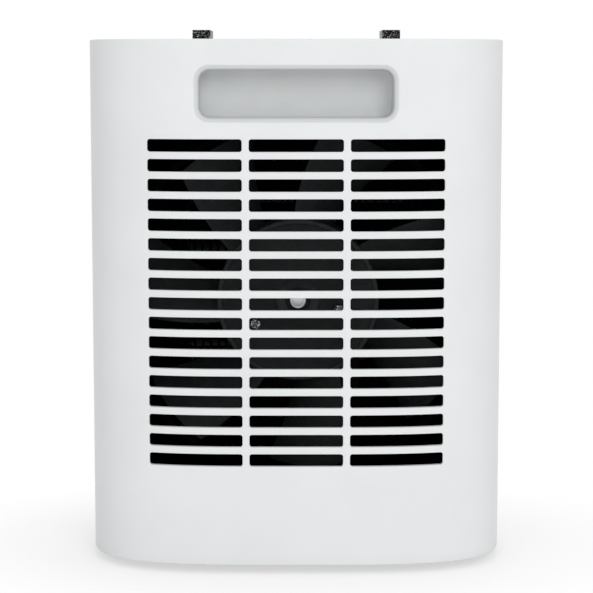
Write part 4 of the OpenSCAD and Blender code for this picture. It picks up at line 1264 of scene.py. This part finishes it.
# %% [markdown]
# ## The top panel
#
# A separate white lid lies between the shells. Each dial sits in a round well in it, and the
# wells' rims are rolled over so that they feel soft. The pilot lamp's lens shows between them.

# %% Top panel
dial_low, dial_high, (dial_x, _, _) = node_box("mode_knob")
dial_r = (dial_high[0] - dial_low[0]) / 2
lens_low, lens_high, _ = node_box("pilot_lens")
well_r = dial_r + 0.6 * mm
well_z = z_top - 4 * mm
cup_r, cup_z = well_r + 2 * mm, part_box("control_panel")[0].z
panel_z = z_top - plate_t
panel_gap = 0.2 * mm
plate_rounding = 0.3 * mm
shaft_hole_r, dial_screw_y, screw_hole_r = 4.2 * mm, 9.5 * mm, 1.6 * mm
lens_hole_r, lens_flare, lens_chamfer = 3.5 * mm, 0.4 * mm, 0.12 * mm
rim_hole_deep = 0.7 * plate_t
past = 1 * mm  # how far a cutter runs past what it cuts


def well(x):
    """The cutter for a dial's well: its floor meets the wall in a curve, and its rim rolls over."""
    floor_curve, rim_roll = 0.6 * mm, 0.7 * mm
    profile = [(0, well_z)]
    profile += [(well_r - to_go, well_z + gone) for to_go, gone in quarter_round(floor_curve, 4)]
    profile += [(well_r + gone, z_top - to_go) for to_go, gone in quarter_round(rim_roll, 4)]
    profile += [(well_r + rim_roll, z_top + past), (0, z_top + past)]
    return [turned(profile, 128, moved(x, 0))]


lens_hole = [(0, panel_z - past), (lens_hole_r, panel_z - past), (lens_hole_r, z_top - lens_flare),
             (lens_hole_r + lens_chamfer, z_top - lens_chamfer), (lens_hole_r + lens_flare, z_top),
             (lens_hole_r + lens_flare, z_top + past), (0, z_top + past)]
cups = [drum(cup_r, cup_z, z_top - past, s * dial_x, steps=128) for s in (-1, 1)]
cuts = [well(s * dial_x) for s in (-1, 1)]
cuts += [drum(shaft_hole_r, cup_z - past, well_z + past, s * dial_x) for s in (-1, 1)]
cuts += [drum(screw_hole_r, cup_z - past, well_z + past, *place, 24)
         for place in four(dial_x, dial_screw_y)]
cuts.append([turned(lens_hole)])
cuts += [drum(screw_hole_r, panel_z - past, panel_z + rim_hole_deep, *place, 24)
         for place in four(*rim_boss)]
plate = plan_plate(wall + panel_gap, panel_z, z_top, plate_rounding)
shaped("top_panel", plate, white_abs, "heater_body", "shell", "control_panel", joined=cups,
       cut=cuts)

# %% [markdown]
# ## The dials
#
# A dial is a hollow disc with a grip bar across it, moulded in one piece. Its outer ring is the
# same ring of points from the skirt to the disc's rim, and the two stretches where the bar ends
# carry on upwards, so the bar's ends are flush with the skirt. Bevel then rounds every edge.
# The bar carries a pale pointer line, let into a groove at its front end.

# %% One dial
bar_half = 4.3 * mm
bar_top = dial_high[2]
disc_top = z_top + 0.2 * mm
skirt_z = dial_low[2]
ceiling_z = disc_top - 1.8 * mm
hollow_r, sleeve_r, bore_r, bore_flat = dial_r - 2 * mm, 5 * mm, 3 * mm, 2.04 * mm
bore_z = z_top + 2.9 * mm
bar_turn = math.asin(bar_half / dial_r)
end_steps, side_steps = 12, 60


def dial_parts(x):
    """A dial about its own axis at x."""
    front = np.linspace(-bar_turn, bar_turn, end_steps + 1)[:-1] - math.pi / 2
    right = np.linspace(bar_turn, math.pi - bar_turn, side_steps + 1)[:-1] - math.pi / 2
    turns = np.concatenate([front, right, front + math.pi, right + math.pi])
    half_way = end_steps + side_steps

    def ring(radius, z):
        return np.stack([x + radius * np.cos(turns), radius * np.sin(turns),
                         np.full(len(turns), z)], axis=-1)

    skirt, shoulder, crown = ring(dial_r, skirt_z), ring(dial_r, disc_top), ring(dial_r, bar_top)
    bore_low, bore_high = ring(bore_r, skirt_z), ring(bore_r, bore_z)
    for loop in (bore_low, bore_high):
        loop[:, 0] = np.minimum(loop[:, 0], x + bore_flat)
    inside = [skirt, ring(hollow_r, skirt_z), ring(hollow_r, ceiling_z), ring(sleeve_r, ceiling_z),
              ring(sleeve_r, skirt_z), bore_low, bore_high]
    parts = [quads([skirt, shoulder], close=True), quads(inside, close=True), polygon(bore_high)]
    ends = [slice(start, start + end_steps + 1) for start in (0, half_way)]
    parts += [quads([shoulder[end], crown[end]]) for end in ends]
    lift = [0, 0, bar_top - disc_top]
    for start, stop in ((end_steps, half_way), (half_way + end_steps, len(turns))):
        sector = shoulder[np.arange(start, stop + 1) % len(turns)]
        first, last = sector[0], sector[-1]
        parts += [polygon(sector), polygon([first, last, last + lift, first + lift])]
    parts.append(polygon(np.concatenate([crown[end] for end in ends])))
    return parts


# %% Dials
line_half, line_deep, line_below = 0.6 * mm, 0.5 * mm, 0.12 * mm
line_y = (1.6 * mm - dial_r, 10 * mm - dial_r)
dial_rounding = 0.45 * mm


def block(x, y, z):
    """A plain block between the two ends of each of x, y and z."""
    plan = [(x[0], y[0]), (x[1], y[0]), (x[1], y[1]), (x[0], y[1])]
    return tube([[(*p, height) for p in plan] for height in z])


for kind, side in (("mode", 1), ("thermostat", -1)):
    x = side * dial_x
    line_x = (x - line_half, x + line_half)
    line_cut = block(line_x, line_y, (bar_top - line_deep, bar_top + past))
    inlay = block(line_x, line_y, (bar_top - line_deep, bar_top - line_below))
    shaped(f"{kind}_dial_knob", dial_parts(x), dial_abs_painted_glints, f"{kind}_dial", "dial", f"{kind}_knob",
           cut=[line_cut], rounding=dial_rounding)
    build(f"{kind}_dial_line", inlay, pale_ink, f"{kind}_dial", "dial")

# %% [markdown]
# ## Marks round the dials
#
# The marks are pad printed, which lays down a film of ink far thinner than a hair. They are
# plain dots: four of one size for the mode, and seven that grow for the thermostat. A tree puts
# a disc on each point of an arc, and makes each a step larger than the last.


# %% The tree for marks on an arc
def arc_tree(name, surface):
    """Geometry Nodes: copies of a mark on an arc, each a little larger than the one before."""
    tree, inlet = new_tree(name, {
        "Count": "Int", "Radius": "Float", "First turn": "Float", "Step": "Float",
        "First size": "Float", "Growth": "Float", "Centre": "Vector"})
    number = add(tree, "GeometryNodeInputIndex")
    turn = add(tree, "ShaderNodeMath", {0: number, 1: inlet["Step"], 2: inlet["First turn"]},
               operation="MULTIPLY_ADD")
    size = add(tree, "ShaderNodeMath", {0: number, 1: inlet["Growth"], 2: inlet["First size"]},
               operation="MULTIPLY_ADD")
    ends = []
    for wave in ("COSINE", "SINE"):
        unit = add(tree, "ShaderNodeMath", {0: turn}, operation=wave)
        ends.append(add(tree, "ShaderNodeMath", {0: unit, 1: inlet["Radius"]},
                        operation="MULTIPLY"))
    ring = add(tree, "ShaderNodeCombineXYZ", {"X": ends[0], "Y": ends[1]})
    place = add(tree, "ShaderNodeVectorMath", {0: ring, 1: inlet["Centre"]}, operation="ADD")
    points = add(tree, "GeometryNodePoints", {"Count": inlet["Count"], "Position": place})
    scale = add(tree, "ShaderNodeCombineXYZ", {"X": size, "Y": size, "Z": 1.0})
    copies = add(tree, "GeometryNodeInstanceOnPoints", {"Points": points, "Scale": scale,
                                                        "Instance": inlet["Geometry"]})
    return end_tree(tree, copies, surface)


# %% Marks
ink_half = 0.03 * mm
mark_turn = math.radians(45)
mark_arc = dial_r + 4.6 * mm
dot_r, dot_growth = 0.75 * mm, 0.13 * mm
dot_profile = [(0, -ink_half), (1, -ink_half), (1, ink_half), (0, ink_half)]
dot_tree = arc_tree("dots on an arc", grey_ink)
marks = []
for x, count, growth in ((dial_x, 4, 0.0), (-dial_x, 7, dot_growth)):
    dot = welded("dot", [turned(dot_profile, 24)])
    marks.append(mesh_parts(grow(dot, dot_tree, count=count, radius=mark_arc, step=-mark_turn,
                                 first_turn=-math.pi / 2, first_size=dot_r, growth=growth,
                                 centre=(x, 0, z_top))))
build("dial_marks", marks, grey_ink, "heater_body", "dial")

# %% [markdown]
# ## The pilot lamp's lens
#
# A red lens is pushed up through the panel from below and stops on its flange. Its top is a
# shallow dome, so that the glow can be seen from the side.

# %% Pilot lens
lens_r, lens_flange_r = lens_hole_r - 0.1 * mm, lens_high[0]
dome = 0.7 * mm
profile = [(0, lens_low[2]), (lens_flange_r, lens_low[2]), (lens_flange_r, panel_z),
           (lens_r, panel_z), (lens_r, z_top - dome)]
profile += [(lens_r * math.cos(t), z_top - dome + dome * math.sin(t))
            for t in np.radians((20, 40, 60, 75, 90))]
build("pilot_lens_dome", [turned(profile, 64)], red_lens, "heater_body", "lens", "pilot_lens")

# %% [markdown]
# ## Turned and moulded round pieces
#
# The cord's bush, the feet and the plunger's tip are surfaces of revolution: a profile is drawn
# once, with its rounded edges, and turned about its own axis.

# %% Cord gland
gland_bore, gland_tail = 3.6 * mm, gland_neck + 1 * mm
gland_in, gland_out = gland_low[0], gland_high[0]
tail_x = gland_in + 3 * mm
tail_chamfer, lip_roll, mouth_roll = 0.5 * mm, 0.6 * mm, 0.8 * mm


def through_wall(points):
    """Turns a profile's axis on to X, through the gland."""
    return np.stack([points[:, 2], points[:, 0] + gland_y, points[:, 1] + gland_z], axis=-1)


profile = [(gland_bore, gland_in), (gland_tail - tail_chamfer, gland_in),
           (gland_tail, gland_in + tail_chamfer), (gland_tail, tail_x), (gland_neck, tail_x),
           (gland_neck, seat_x), (gland_r, seat_x)]
profile += [(gland_r - gone, gland_out - to_go) for to_go, gone in quarter_round(lip_roll)]
profile += [(gland_bore + to_go, gland_out - gone) for to_go, gone in quarter_round(mouth_roll)]
profile.append((gland_bore, gland_in))
build("cord_bush", [turned(profile, 96, through_wall)], rubber, "heater_body", "gland",
      "cord_gland")


# %% The tree for rows and columns
def rows_tree(name, surface):
    """Geometry Nodes: copies of a piece in rows and columns, along two directions."""
    tree, inlet = new_tree(name, {"Columns": "Int", "Rows": "Int", "Across": "Vector",
                                  "Up": "Vector", "Centre": "Vector", "Weld": "Float"})
    columns = inlet["Columns"]
    number = add(tree, "GeometryNodeInputIndex")
    total = add(tree, "ShaderNodeMath", {0: columns, 1: inlet["Rows"]}, operation="MULTIPLY")
    share = add(tree, "ShaderNodeMath", {0: number, 1: columns}, operation="DIVIDE")
    row = add(tree, "ShaderNodeMath", {0: share}, operation="FLOOR")
    column = add(tree, "ShaderNodeMath", {0: number, 1: columns}, operation="FLOORED_MODULO")
    place = inlet["Centre"]
    for step, index, count in (("Across", column, "Columns"), ("Up", row, "Rows")):
        last = add(tree, "ShaderNodeMath", {0: inlet[count], 1: 1.0}, operation="SUBTRACT")
        middle = add(tree, "ShaderNodeMath", {0: last, 1: 0.5}, operation="MULTIPLY")
        steps = add(tree, "ShaderNodeMath", {0: index, 1: middle}, operation="SUBTRACT")
        reach = add(tree, "ShaderNodeVectorMath", {0: inlet[step], "Scale": steps},
                    operation="SCALE")
        place = add(tree, "ShaderNodeVectorMath", {0: place, 1: reach}, operation="ADD")
    points = add(tree, "GeometryNodePoints", {"Count": total, "Position": place})
    copies = add(tree, "GeometryNodeInstanceOnPoints", {"Points": points,
                                                        "Instance": inlet["Geometry"]})
    real = add(tree, "GeometryNodeRealizeInstances", {"Geometry": copies})
    joined = add(tree, "GeometryNodeMergeByDistance", {"Geometry": real,
                                                       "Distance": inlet["Weld"]})
    return end_tree(tree, joined, surface)


# %% Feet
feet_low, feet_high, _ = node_box("feet")
foot_r = 7 * mm
foot_peg, peg_flare, peg_taper = 0.4 * foot_r, 0.8 * mm, 0.6 * mm
foot_span = (feet_high - feet_low)[:2] - 2 * foot_r
foot_roll = 1.2 * mm
plate_top = z_under + plate_t
hollow = [(0, 0.8), (3.4, 0.8), (3.8, 0.6), (4.1, 0)]  # the cup under a foot, mm
profile = [(r * mm, z * mm) for r, z in hollow] + [(foot_r - foot_roll, 0)]
profile += [(foot_r - to_go, gone) for to_go, gone in quarter_round(foot_roll)[1:]]
profile += [(foot_r, z_under), (foot_peg, z_under), (foot_peg, plate_top),
            (foot_peg + peg_flare, plate_top), (foot_peg - peg_taper, feet_high[2]),
            (0, feet_high[2])]
foot = welded("foot", [turned(profile, 64)])
feet_mesh = grow(foot, rows_tree("rows of feet", rubber), columns=2, rows=2,
                 across=(foot_span[0], 0, 0), up=(0, foot_span[1], 0), centre=(0, 0, 0),
                 weld=weld_gap / 4)
finished("rubber_feet", feet_mesh, rubber, "heater_body", "feet", "feet")

# %% [markdown]
# ## The base
#
# The base plate closes the body from below. The feet's pegs and the four long screws pass
# through it, and the tip-over plunger runs in a short guide.

# %% Base plate
plunger_low, plunger_high, (plunger_x, plunger_y, _) = node_box("tip_plunger")
plunger_r, plunger_bore = 3 * mm, 3.04 * mm
guide_r, guide_z = 5.2 * mm, plate_top + 1 * mm
peg_gap = 0.1 * mm
under = z_under - past
cuts = [drum(plunger_bore, under, guide_z + past, plunger_x, plunger_y)]
cuts += [drum(screw_hole_r, under, guide_z, *place, 32) for place in four(*rim_boss)]
cuts += [drum(foot_peg + peg_gap, under, guide_z, *place, 48) for place in four(*foot_span / 2)]
guide = drum(guide_r, z_under + plate_t / 2, guide_z, plunger_x, plunger_y)
plate = plan_plate(wall + panel_gap, z_under, plate_top, plate_rounding)
shaped("base_moulding", plate, black_pp, "heater_body", "base", "base_plate", joined=[guide],
       cut=cuts)

# %% Plunger
flange_z = guide_z + 5.2 * mm  # the flange that the spring presses on
spring_z = flange_z + 1.5 * mm
tip_dome = 1 * mm
stem_r, stem_end_r, stem_taper = 1.6 * mm, 1.2 * mm, 0.4 * mm
profile = [(plunger_r * math.sin(t), plunger_low[2] + tip_dome * (1 - math.cos(t)))
           for t in np.radians((0, 20, 40, 60, 75, 90))]
profile += [(plunger_r, flange_z), (guide_r, flange_z), (guide_r, spring_z), (stem_r, spring_z),
            (stem_r, plunger_high[2] - stem_taper), (stem_end_r, plunger_high[2]),
            (0, plunger_high[2])]
build("plunger_tip", [turned(profile, 48, moved(plunger_x, plunger_y))], acetal,
      "tip_over_plunger", "plunger", "tip_plunger")

# %% [markdown]
# ## The fan
#
# The axial fan is one moulding: a deep hub whose face is dished a little behind its rim, a
# raised collar round the shaft, and seven swept blades. The hub is turned from a profile. One
# blade is drawn as a stack of cambered sections from root to tip, and a tree turns copies of it
# round the axis.

# %% Hub
hub_low, hub_high, _ = node_box("impeller")
hub_front, hub_back = -hub_low[1], -hub_high[1]
hub_r, hub_wall, hub_skin, hub_dish = 38.1 * mm, 2.2 * mm, 2.2 * mm, 0.8 * mm
collar_r, recess_r, recess_deep = 9.9 * mm, 5.9 * mm, 2 * mm
shaft_r = 2.5 * mm
soft = 0.3 * mm  # chamfers
rim_roll, collar_roll, collar_foot = 0.7 * mm, 0.25 * mm, 0.4 * mm
inner_r = hub_r - hub_wall
hub_face = hub_front - hub_dish
back_face = hub_face - hub_skin
rib_half, rib_deep = 0.8 * mm, 8 * mm


def on_fan_axis(points):
    """Fan coordinates, with Z towards the inlet, into the frame."""
    return np.stack([fan_x + points[:, 0], -points[:, 2], fan_z + points[:, 1]], axis=-1)


def edge_outside(radius, z, roll):
    """A rounded edge on a profile that comes up a wall and turns in."""
    return [(radius - gone, z - to_go) for to_go, gone in quarter_round(roll)]


def edge_inside(radius, z, roll):
    """A rounded edge on a profile that comes in over a wall and turns down."""
    return [(radius + gone, z - to_go) for to_go, gone in quarter_round(roll)[::-1]]


profile = [(hub_r - soft, hub_back), (hub_r, hub_back + soft)]
profile += edge_outside(hub_r, hub_front, rim_roll) + edge_inside(inner_r, hub_front, soft)
profile += [(inner_r, hub_face + soft), (inner_r - soft, hub_face),
            (collar_r + collar_foot, hub_face), (collar_r, hub_face + soft)]
profile += edge_outside(collar_r, hub_front, collar_roll)
profile += edge_inside(recess_r, hub_front, collar_roll)
profile += [(recess_r, hub_front - recess_deep), (shaft_r, hub_front - recess_deep),
            (shaft_r, hub_back), (collar_r, hub_back), (collar_r, back_face),
            (inner_r, back_face), (inner_r, hub_back), (hub_r - soft, hub_back)]
hub_parts = [turned(profile, 144, on_fan_axis)]
for turn in np.radians(range(0, 360, 60)):
    c, s = math.cos(turn), math.sin(turn)
    plan = [(r * c - w * s, r * s + w * c)
            for r, w in ((collar_r - sink, -rib_half), (inner_r + sink, -rib_half),
                         (inner_r + sink, rib_half), (collar_r - sink, rib_half))]
    hub_parts += tube([on_fan_axis(np.array([(*p, z) for p in plan]))
                       for z in (back_face - rib_deep, back_face + sink)])
print("hub, mm:", round(2 * hub_r / mm, 1), "wide,", round((hub_front - hub_back) / mm, 1), "deep")

# %% One blade
blade_root, blade_tip = inner_r + sink, 81.2 * mm
blade_front, blade_depth, blade_half = hub_front - 2 * mm, 24 * mm, 1 * mm
blade_spread = np.radians((30, 27.5))  # from leading to trailing edge, at the root and at the tip
blade_lead = np.radians((93.6, 81.3))  # the leading edge, at the root and at the tip
blade_camber = 0.09
blade_rows, blade_columns = 26, 22
bead, bead_half = 0.045, 0.75 * blade_half  # of the bead along the leading edge, as chord and half
root_fillet, fillet_reach = 1.4 * mm, 3 * mm


def bulge(shares, power):
    """Rises from 0 to 1 and falls to 0 again over the shares 0 to 1, as part of an ellipse."""
    return np.sqrt(np.clip(1 - np.abs(2 * shares - 1) ** power, 0, 1))


def blade_section(k):
    """Points round the blade at a share k of the way from root to tip."""
    r = blade_root + (blade_tip - blade_root) * k
    spread = (blade_spread[0] + (blade_spread[1] - blade_spread[0]) * k) * r
    lead = blade_lead[0] + (blade_lead[1] - blade_lead[0]) * k
    chord = math.hypot(spread, blade_depth)
    fillet = root_fillet * min(1.0, max(0.0, 1 - (r - hub_r) / fillet_reach)) ** 2
    s = (1 - np.cos(np.linspace(0, math.pi, blade_columns))) / 2
    half = np.maximum((blade_half + fillet) * bulge(s, 3),
                      bead_half * bulge(s / (2 * bead), 2) * (s < 2 * bead))
    points = []
    for side, order in ((1, slice(None)), (-1, slice(-2, 0, -1))):
        off = side * half[order] + blade_camber * chord * 4 * s[order] * (1 - s[order])
        turn = lead - (s[order] * spread + off * blade_depth / chord) / r
        z = blade_front - s[order] * blade_depth + off * spread / chord
        points.append(np.stack([r * np.cos(turn), r * np.sin(turn), z], axis=-1))
    return np.concatenate(points)


blade = welded("blade", tube([blade_section(k) for k in np.linspace(0, 1, blade_rows)]))
print("blade:", len(blade.polygons), "faces")


# %% The tree that turns the blades round the hub
def wheel_tree(name, surface):
    """Geometry Nodes: copies of a blade turned round an axis that faces -Y."""
    tree, inlet = new_tree(name, {"Count": "Int", "Axis": "Vector"})
    points = add(tree, "GeometryNodePoints", {"Count": inlet["Count"]})
    step = add(tree, "ShaderNodeMath", {0: math.tau, 1: inlet["Count"]}, operation="DIVIDE")
    number = add(tree, "GeometryNodeInputIndex")
    turn = add(tree, "ShaderNodeMath", {0: number, 1: step}, operation="MULTIPLY")
    spin = add(tree, "ShaderNodeCombineXYZ", {"Z": turn})
    copies = add(tree, "GeometryNodeInstanceOnPoints", {"Points": points, "Rotation": spin,
                                                        "Instance": inlet["Geometry"]})
    placed = add(tree, "GeometryNodeTransform", {"Geometry": copies, "Translation": inlet["Axis"],
                                                 "Rotation": (math.pi / 2, 0, 0)})
    return end_tree(tree, placed, surface)


# %% Fan
blade_count = 7
highlight_depth, highlight_margin = 0.5 * mm, 0.1 * mm  # how far the rim's painted highlight goes back and inwards
lit_side_share = 0.5  # of the collar's height that the painted highlights on its left and right take
blades = grow(blade, wheel_tree("blades round a hub", fan_pp), count=blade_count,
              axis=(fan_x, 0, fan_z))
fan_moulding = build("fan_moulding", hub_parts + [mesh_parts(blades)], fan_pp, "fan", "impeller",
                     "impeller")
# A second material, lighter in colour: painted highlights on the rim and on the collar's sides.
fan_moulding.data.materials.append(rim_pp_painted_highlight)
for face in fan_moulding.data.polygons:
    off_x, off_z = face.center.x - fan_x, face.center.z - fan_z
    off_axis = math.hypot(off_x, off_z)
    on_lit_collar_side = recess_r < off_axis < collar_r and abs(off_z) < lit_side_share * collar_r
    on_lit_rim = inner_r - highlight_margin < off_axis < hub_r
    if (on_lit_collar_side or on_lit_rim) and -face.center.y > hub_front - highlight_depth:
        face.material_index = 1

# %% Shaft cap
cap_low, cap_high, _ = node_box("shaft_cap")
cap_front, cap_back = -cap_low[1], -cap_high[1]
cap_r, cap_roll = 3.8 * mm, 0.5 * mm
rings = [(2.75, 0), (2.6, 0.3), (2.3, 0.3), (2.15, 0.1), (0, 0.05)]  # radius and depth, mm
profile = [(0, hub_front), (shaft_r, hub_front), (shaft_r, cap_back), (cap_r, cap_back)]
profile += edge_outside(cap_r, cap_front, cap_roll)
profile += [(r * mm, cap_front - deep * mm) for r, deep in rings]
build("fan_shaft_cap", [turned(profile, 64, on_fan_axis)], bright_steel, "fan", "bright_steel",
      "shaft_cap")

# %% [markdown]
# ## Screws
#
# All the screws are the same cross-head pan screw in different lengths. One is turned, its
# cross is cut with two small blocks, and the tree for rows and columns sets it at each place.
# The frame gives every group's box, and the places follow from the box and the head's size.

# %% One screw
screw_r, point_taper, point_h = 1.5 * mm, 0.5 * mm, 0.8 * mm
cross_half, cross_reach, cross_deep = 0.42 * mm, 1.7 * mm, 1.1 * mm
pan_head = [(1, 0), (1, 0.35), (0.94, 0.65), (0.8, 0.86), (0.6, 0.97), (0, 1)]  # shares of r and h


def screw_mesh(length):
    """A screw with its seat at Z = 0 and its head above."""
    profile = [(0, -length), (screw_r - point_taper, -length), (screw_r, point_h - length),
               (screw_r, 0)]
    profile += [(r * screw_head_r, h * screw_head_t) for r, h in pan_head]
    arms = [block((-a, a), (-b, b), (screw_head_t - cross_deep, screw_head_t + past))
            for a, b in ((cross_half, cross_reach), (cross_reach, cross_half))]
    return carved("screw", [turned(profile)], cut=arms)


# %% Screws
screw_tree = rows_tree("rows of screws", zinc_steel)
hub_screw_turn = math.radians(25)


def screw_rows(node, body, axis, sign, surface=zinc_steel, mirrored=False, turned_by=0.0):
    """Dresses a group of screws that lie along an axis. sign is the side that the heads face."""
    low, high, centre = node_box(node)
    screw = screw_mesh(high[axis] - low[axis] - screw_head_t)
    screw.transform(Matrix.Rotation(turned_by, 4, "Z"))
    if axis == 1:
        screw.transform(Matrix.Rotation(-sign * math.pi / 2, 4, "X"))
    elif sign < 0:
        screw.transform(Matrix.Rotation(math.pi, 4, "X"))
    centre[axis] = (high if sign > 0 else low)[axis] - sign * screw_head_t
    first, second = [i for i in range(3) if i != axis]
    span = high - low - 2 * screw_head_r
    across, up, rows = np.zeros(3), np.zeros(3), 2
    across[first], up[second] = span[first], span[second]
    if mirrored or span[second] < screw_head_r:
        across, rows = across + up, 1
    mesh = grow(screw, screw_tree, columns=2, rows=rows, across=tuple(across), up=tuple(up),
                centre=tuple(centre), weld=0.0)
    finished(node.replace("screws", "cross_screws"), mesh, surface, body, "screws", node,
             even=True)


for node, axis, sign in (("dial_screws", 2, 1), ("panel_screws", 2, -1), ("base_screws", 2, -1),
                         ("duct_screws", 1, 1), ("bracket_screws", 1, 1), ("motor_screws", 1, 1),
                         ("frame_screws", 1, -1)):
    screw_rows(node, "heater_body", axis, sign)
screw_rows("hub_screws", "fan", 1, -1, oxide_steel_painted_glints, mirrored=True, turned_by=hub_screw_turn)

# %% [markdown]
# ## The heating fins
#
# Each row of the element is one strip of aluminium folded to and fro between two flat plates.
# The fold is a path of straights and half circles. The strip gets its thickness by offsetting
# that path to both sides, and the tree for rows stacks five of them.

# %% Fins
fins_low, fins_high, fins_middle = node_box("heater_fins")
fin_rows, fin_pitch, fin_t, fin_plate_t = 5, 4 * mm, 0.8 * mm, 0.6 * mm
bar_h = fins_low[2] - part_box("ceramic_bars")[0].z
fin_row_h = (fins_high[2] - fins_low[2] - (fin_rows - 1) * bar_h) / fin_rows
fin_count = int((fins_high[0] - fins_low[0]) / fin_pitch) + 1
fin_y = (fins_low[1], fins_high[1])


def fold_path():
    """The strip's middle line: each point's place and the direction to its left, in X and Z."""
    bend = fin_pitch / 2
    straight = fin_row_h / 2 - fin_plate_t - fin_t / 2 - bend
    path = []
    for number in range(fin_count):
        x = (number - (fin_count - 1) / 2) * fin_pitch
        up = 1 if number % 2 == 0 else -1
        path.append((x, -up * straight, -up, 0))
        if number < fin_count - 1:
            path += [(x + bend * (1 - math.cos(t)), up * (straight + bend * math.sin(t)),
                      -up * math.cos(t), math.sin(t)) for t in np.linspace(0, math.pi, 7)[:-1]]
        else:
            path.append((x, up * straight, -up, 0))
    return path


def offset(point, by):
    """A point of the fold moved to its left by a distance."""
    x, z, left_x, left_z = point
    return x + left_x * by, z + left_z * by


grid = []
for point in fold_path():
    (x1, z1), (x2, z2) = offset(point, fin_t / 2), offset(point, -fin_t / 2)
    grid.append([(x1, fin_y[0], z1), (x2, fin_y[0], z2), (x2, fin_y[1], z2), (x1, fin_y[1], z1)])
parts = tube(grid)
for side in (-1, 1):
    z = side * (fin_row_h - fin_plate_t) / 2
    parts += block((-fins_high[0], fins_high[0]), fin_y, (z - fin_plate_t / 2, z + fin_plate_t / 2))
fin_mesh = grow(welded("fin row", parts), rows_tree("rows of fins", coated_fins), columns=1,
                rows=fin_rows, across=(0, 0, 0), up=(0, 0, fin_row_h + bar_h),
                centre=(0, 0, fins_middle[2]), weld=0.0)
finished("folded_fins", fin_mesh, coated_fins, "heater_body", "fins", "heater_fins")

# %% [markdown]
# ## Finishes for the pieces that keep their imported shape
#
# The motor, the duct, the switches and the bearings are right as they come. Each takes the
# material it is made of. The duct, the motor, its bracket, the heating element and the pieces in
# black phenolic take near-black colours that are also painted shade for the inside of the body.

# %% Dress the imported nodes
finishes = {
    ivory_urea: ["rotary_switch", "terminal_block"],
    phenolic: ["thermostat"],
    bright_steel: ["switch_shaft", "thermostat_shaft", "motor_shaft", "tip_spring"],
    duct_pp: ["fan_duct"],
    enamelled_steel: ["motor_bracket"],
    bronze: ["front_bearing", "rear_bearing"],
    laminations: ["stator", "rotor"],
    copper: ["stator_coil"],
    heating_ceramic: ["ceramic_bars"],
    black_phenolic: ["element_frame", "thermal_cutout", "tip_switch"],
}
for surface, names in finishes.items():
    for name in names:
        mesh = frame["nodes"][name].data
        mesh.materials.clear()
        mesh.materials.append(surface)
print("dressed nodes:", sum(len(names) for names in finishes.values()))
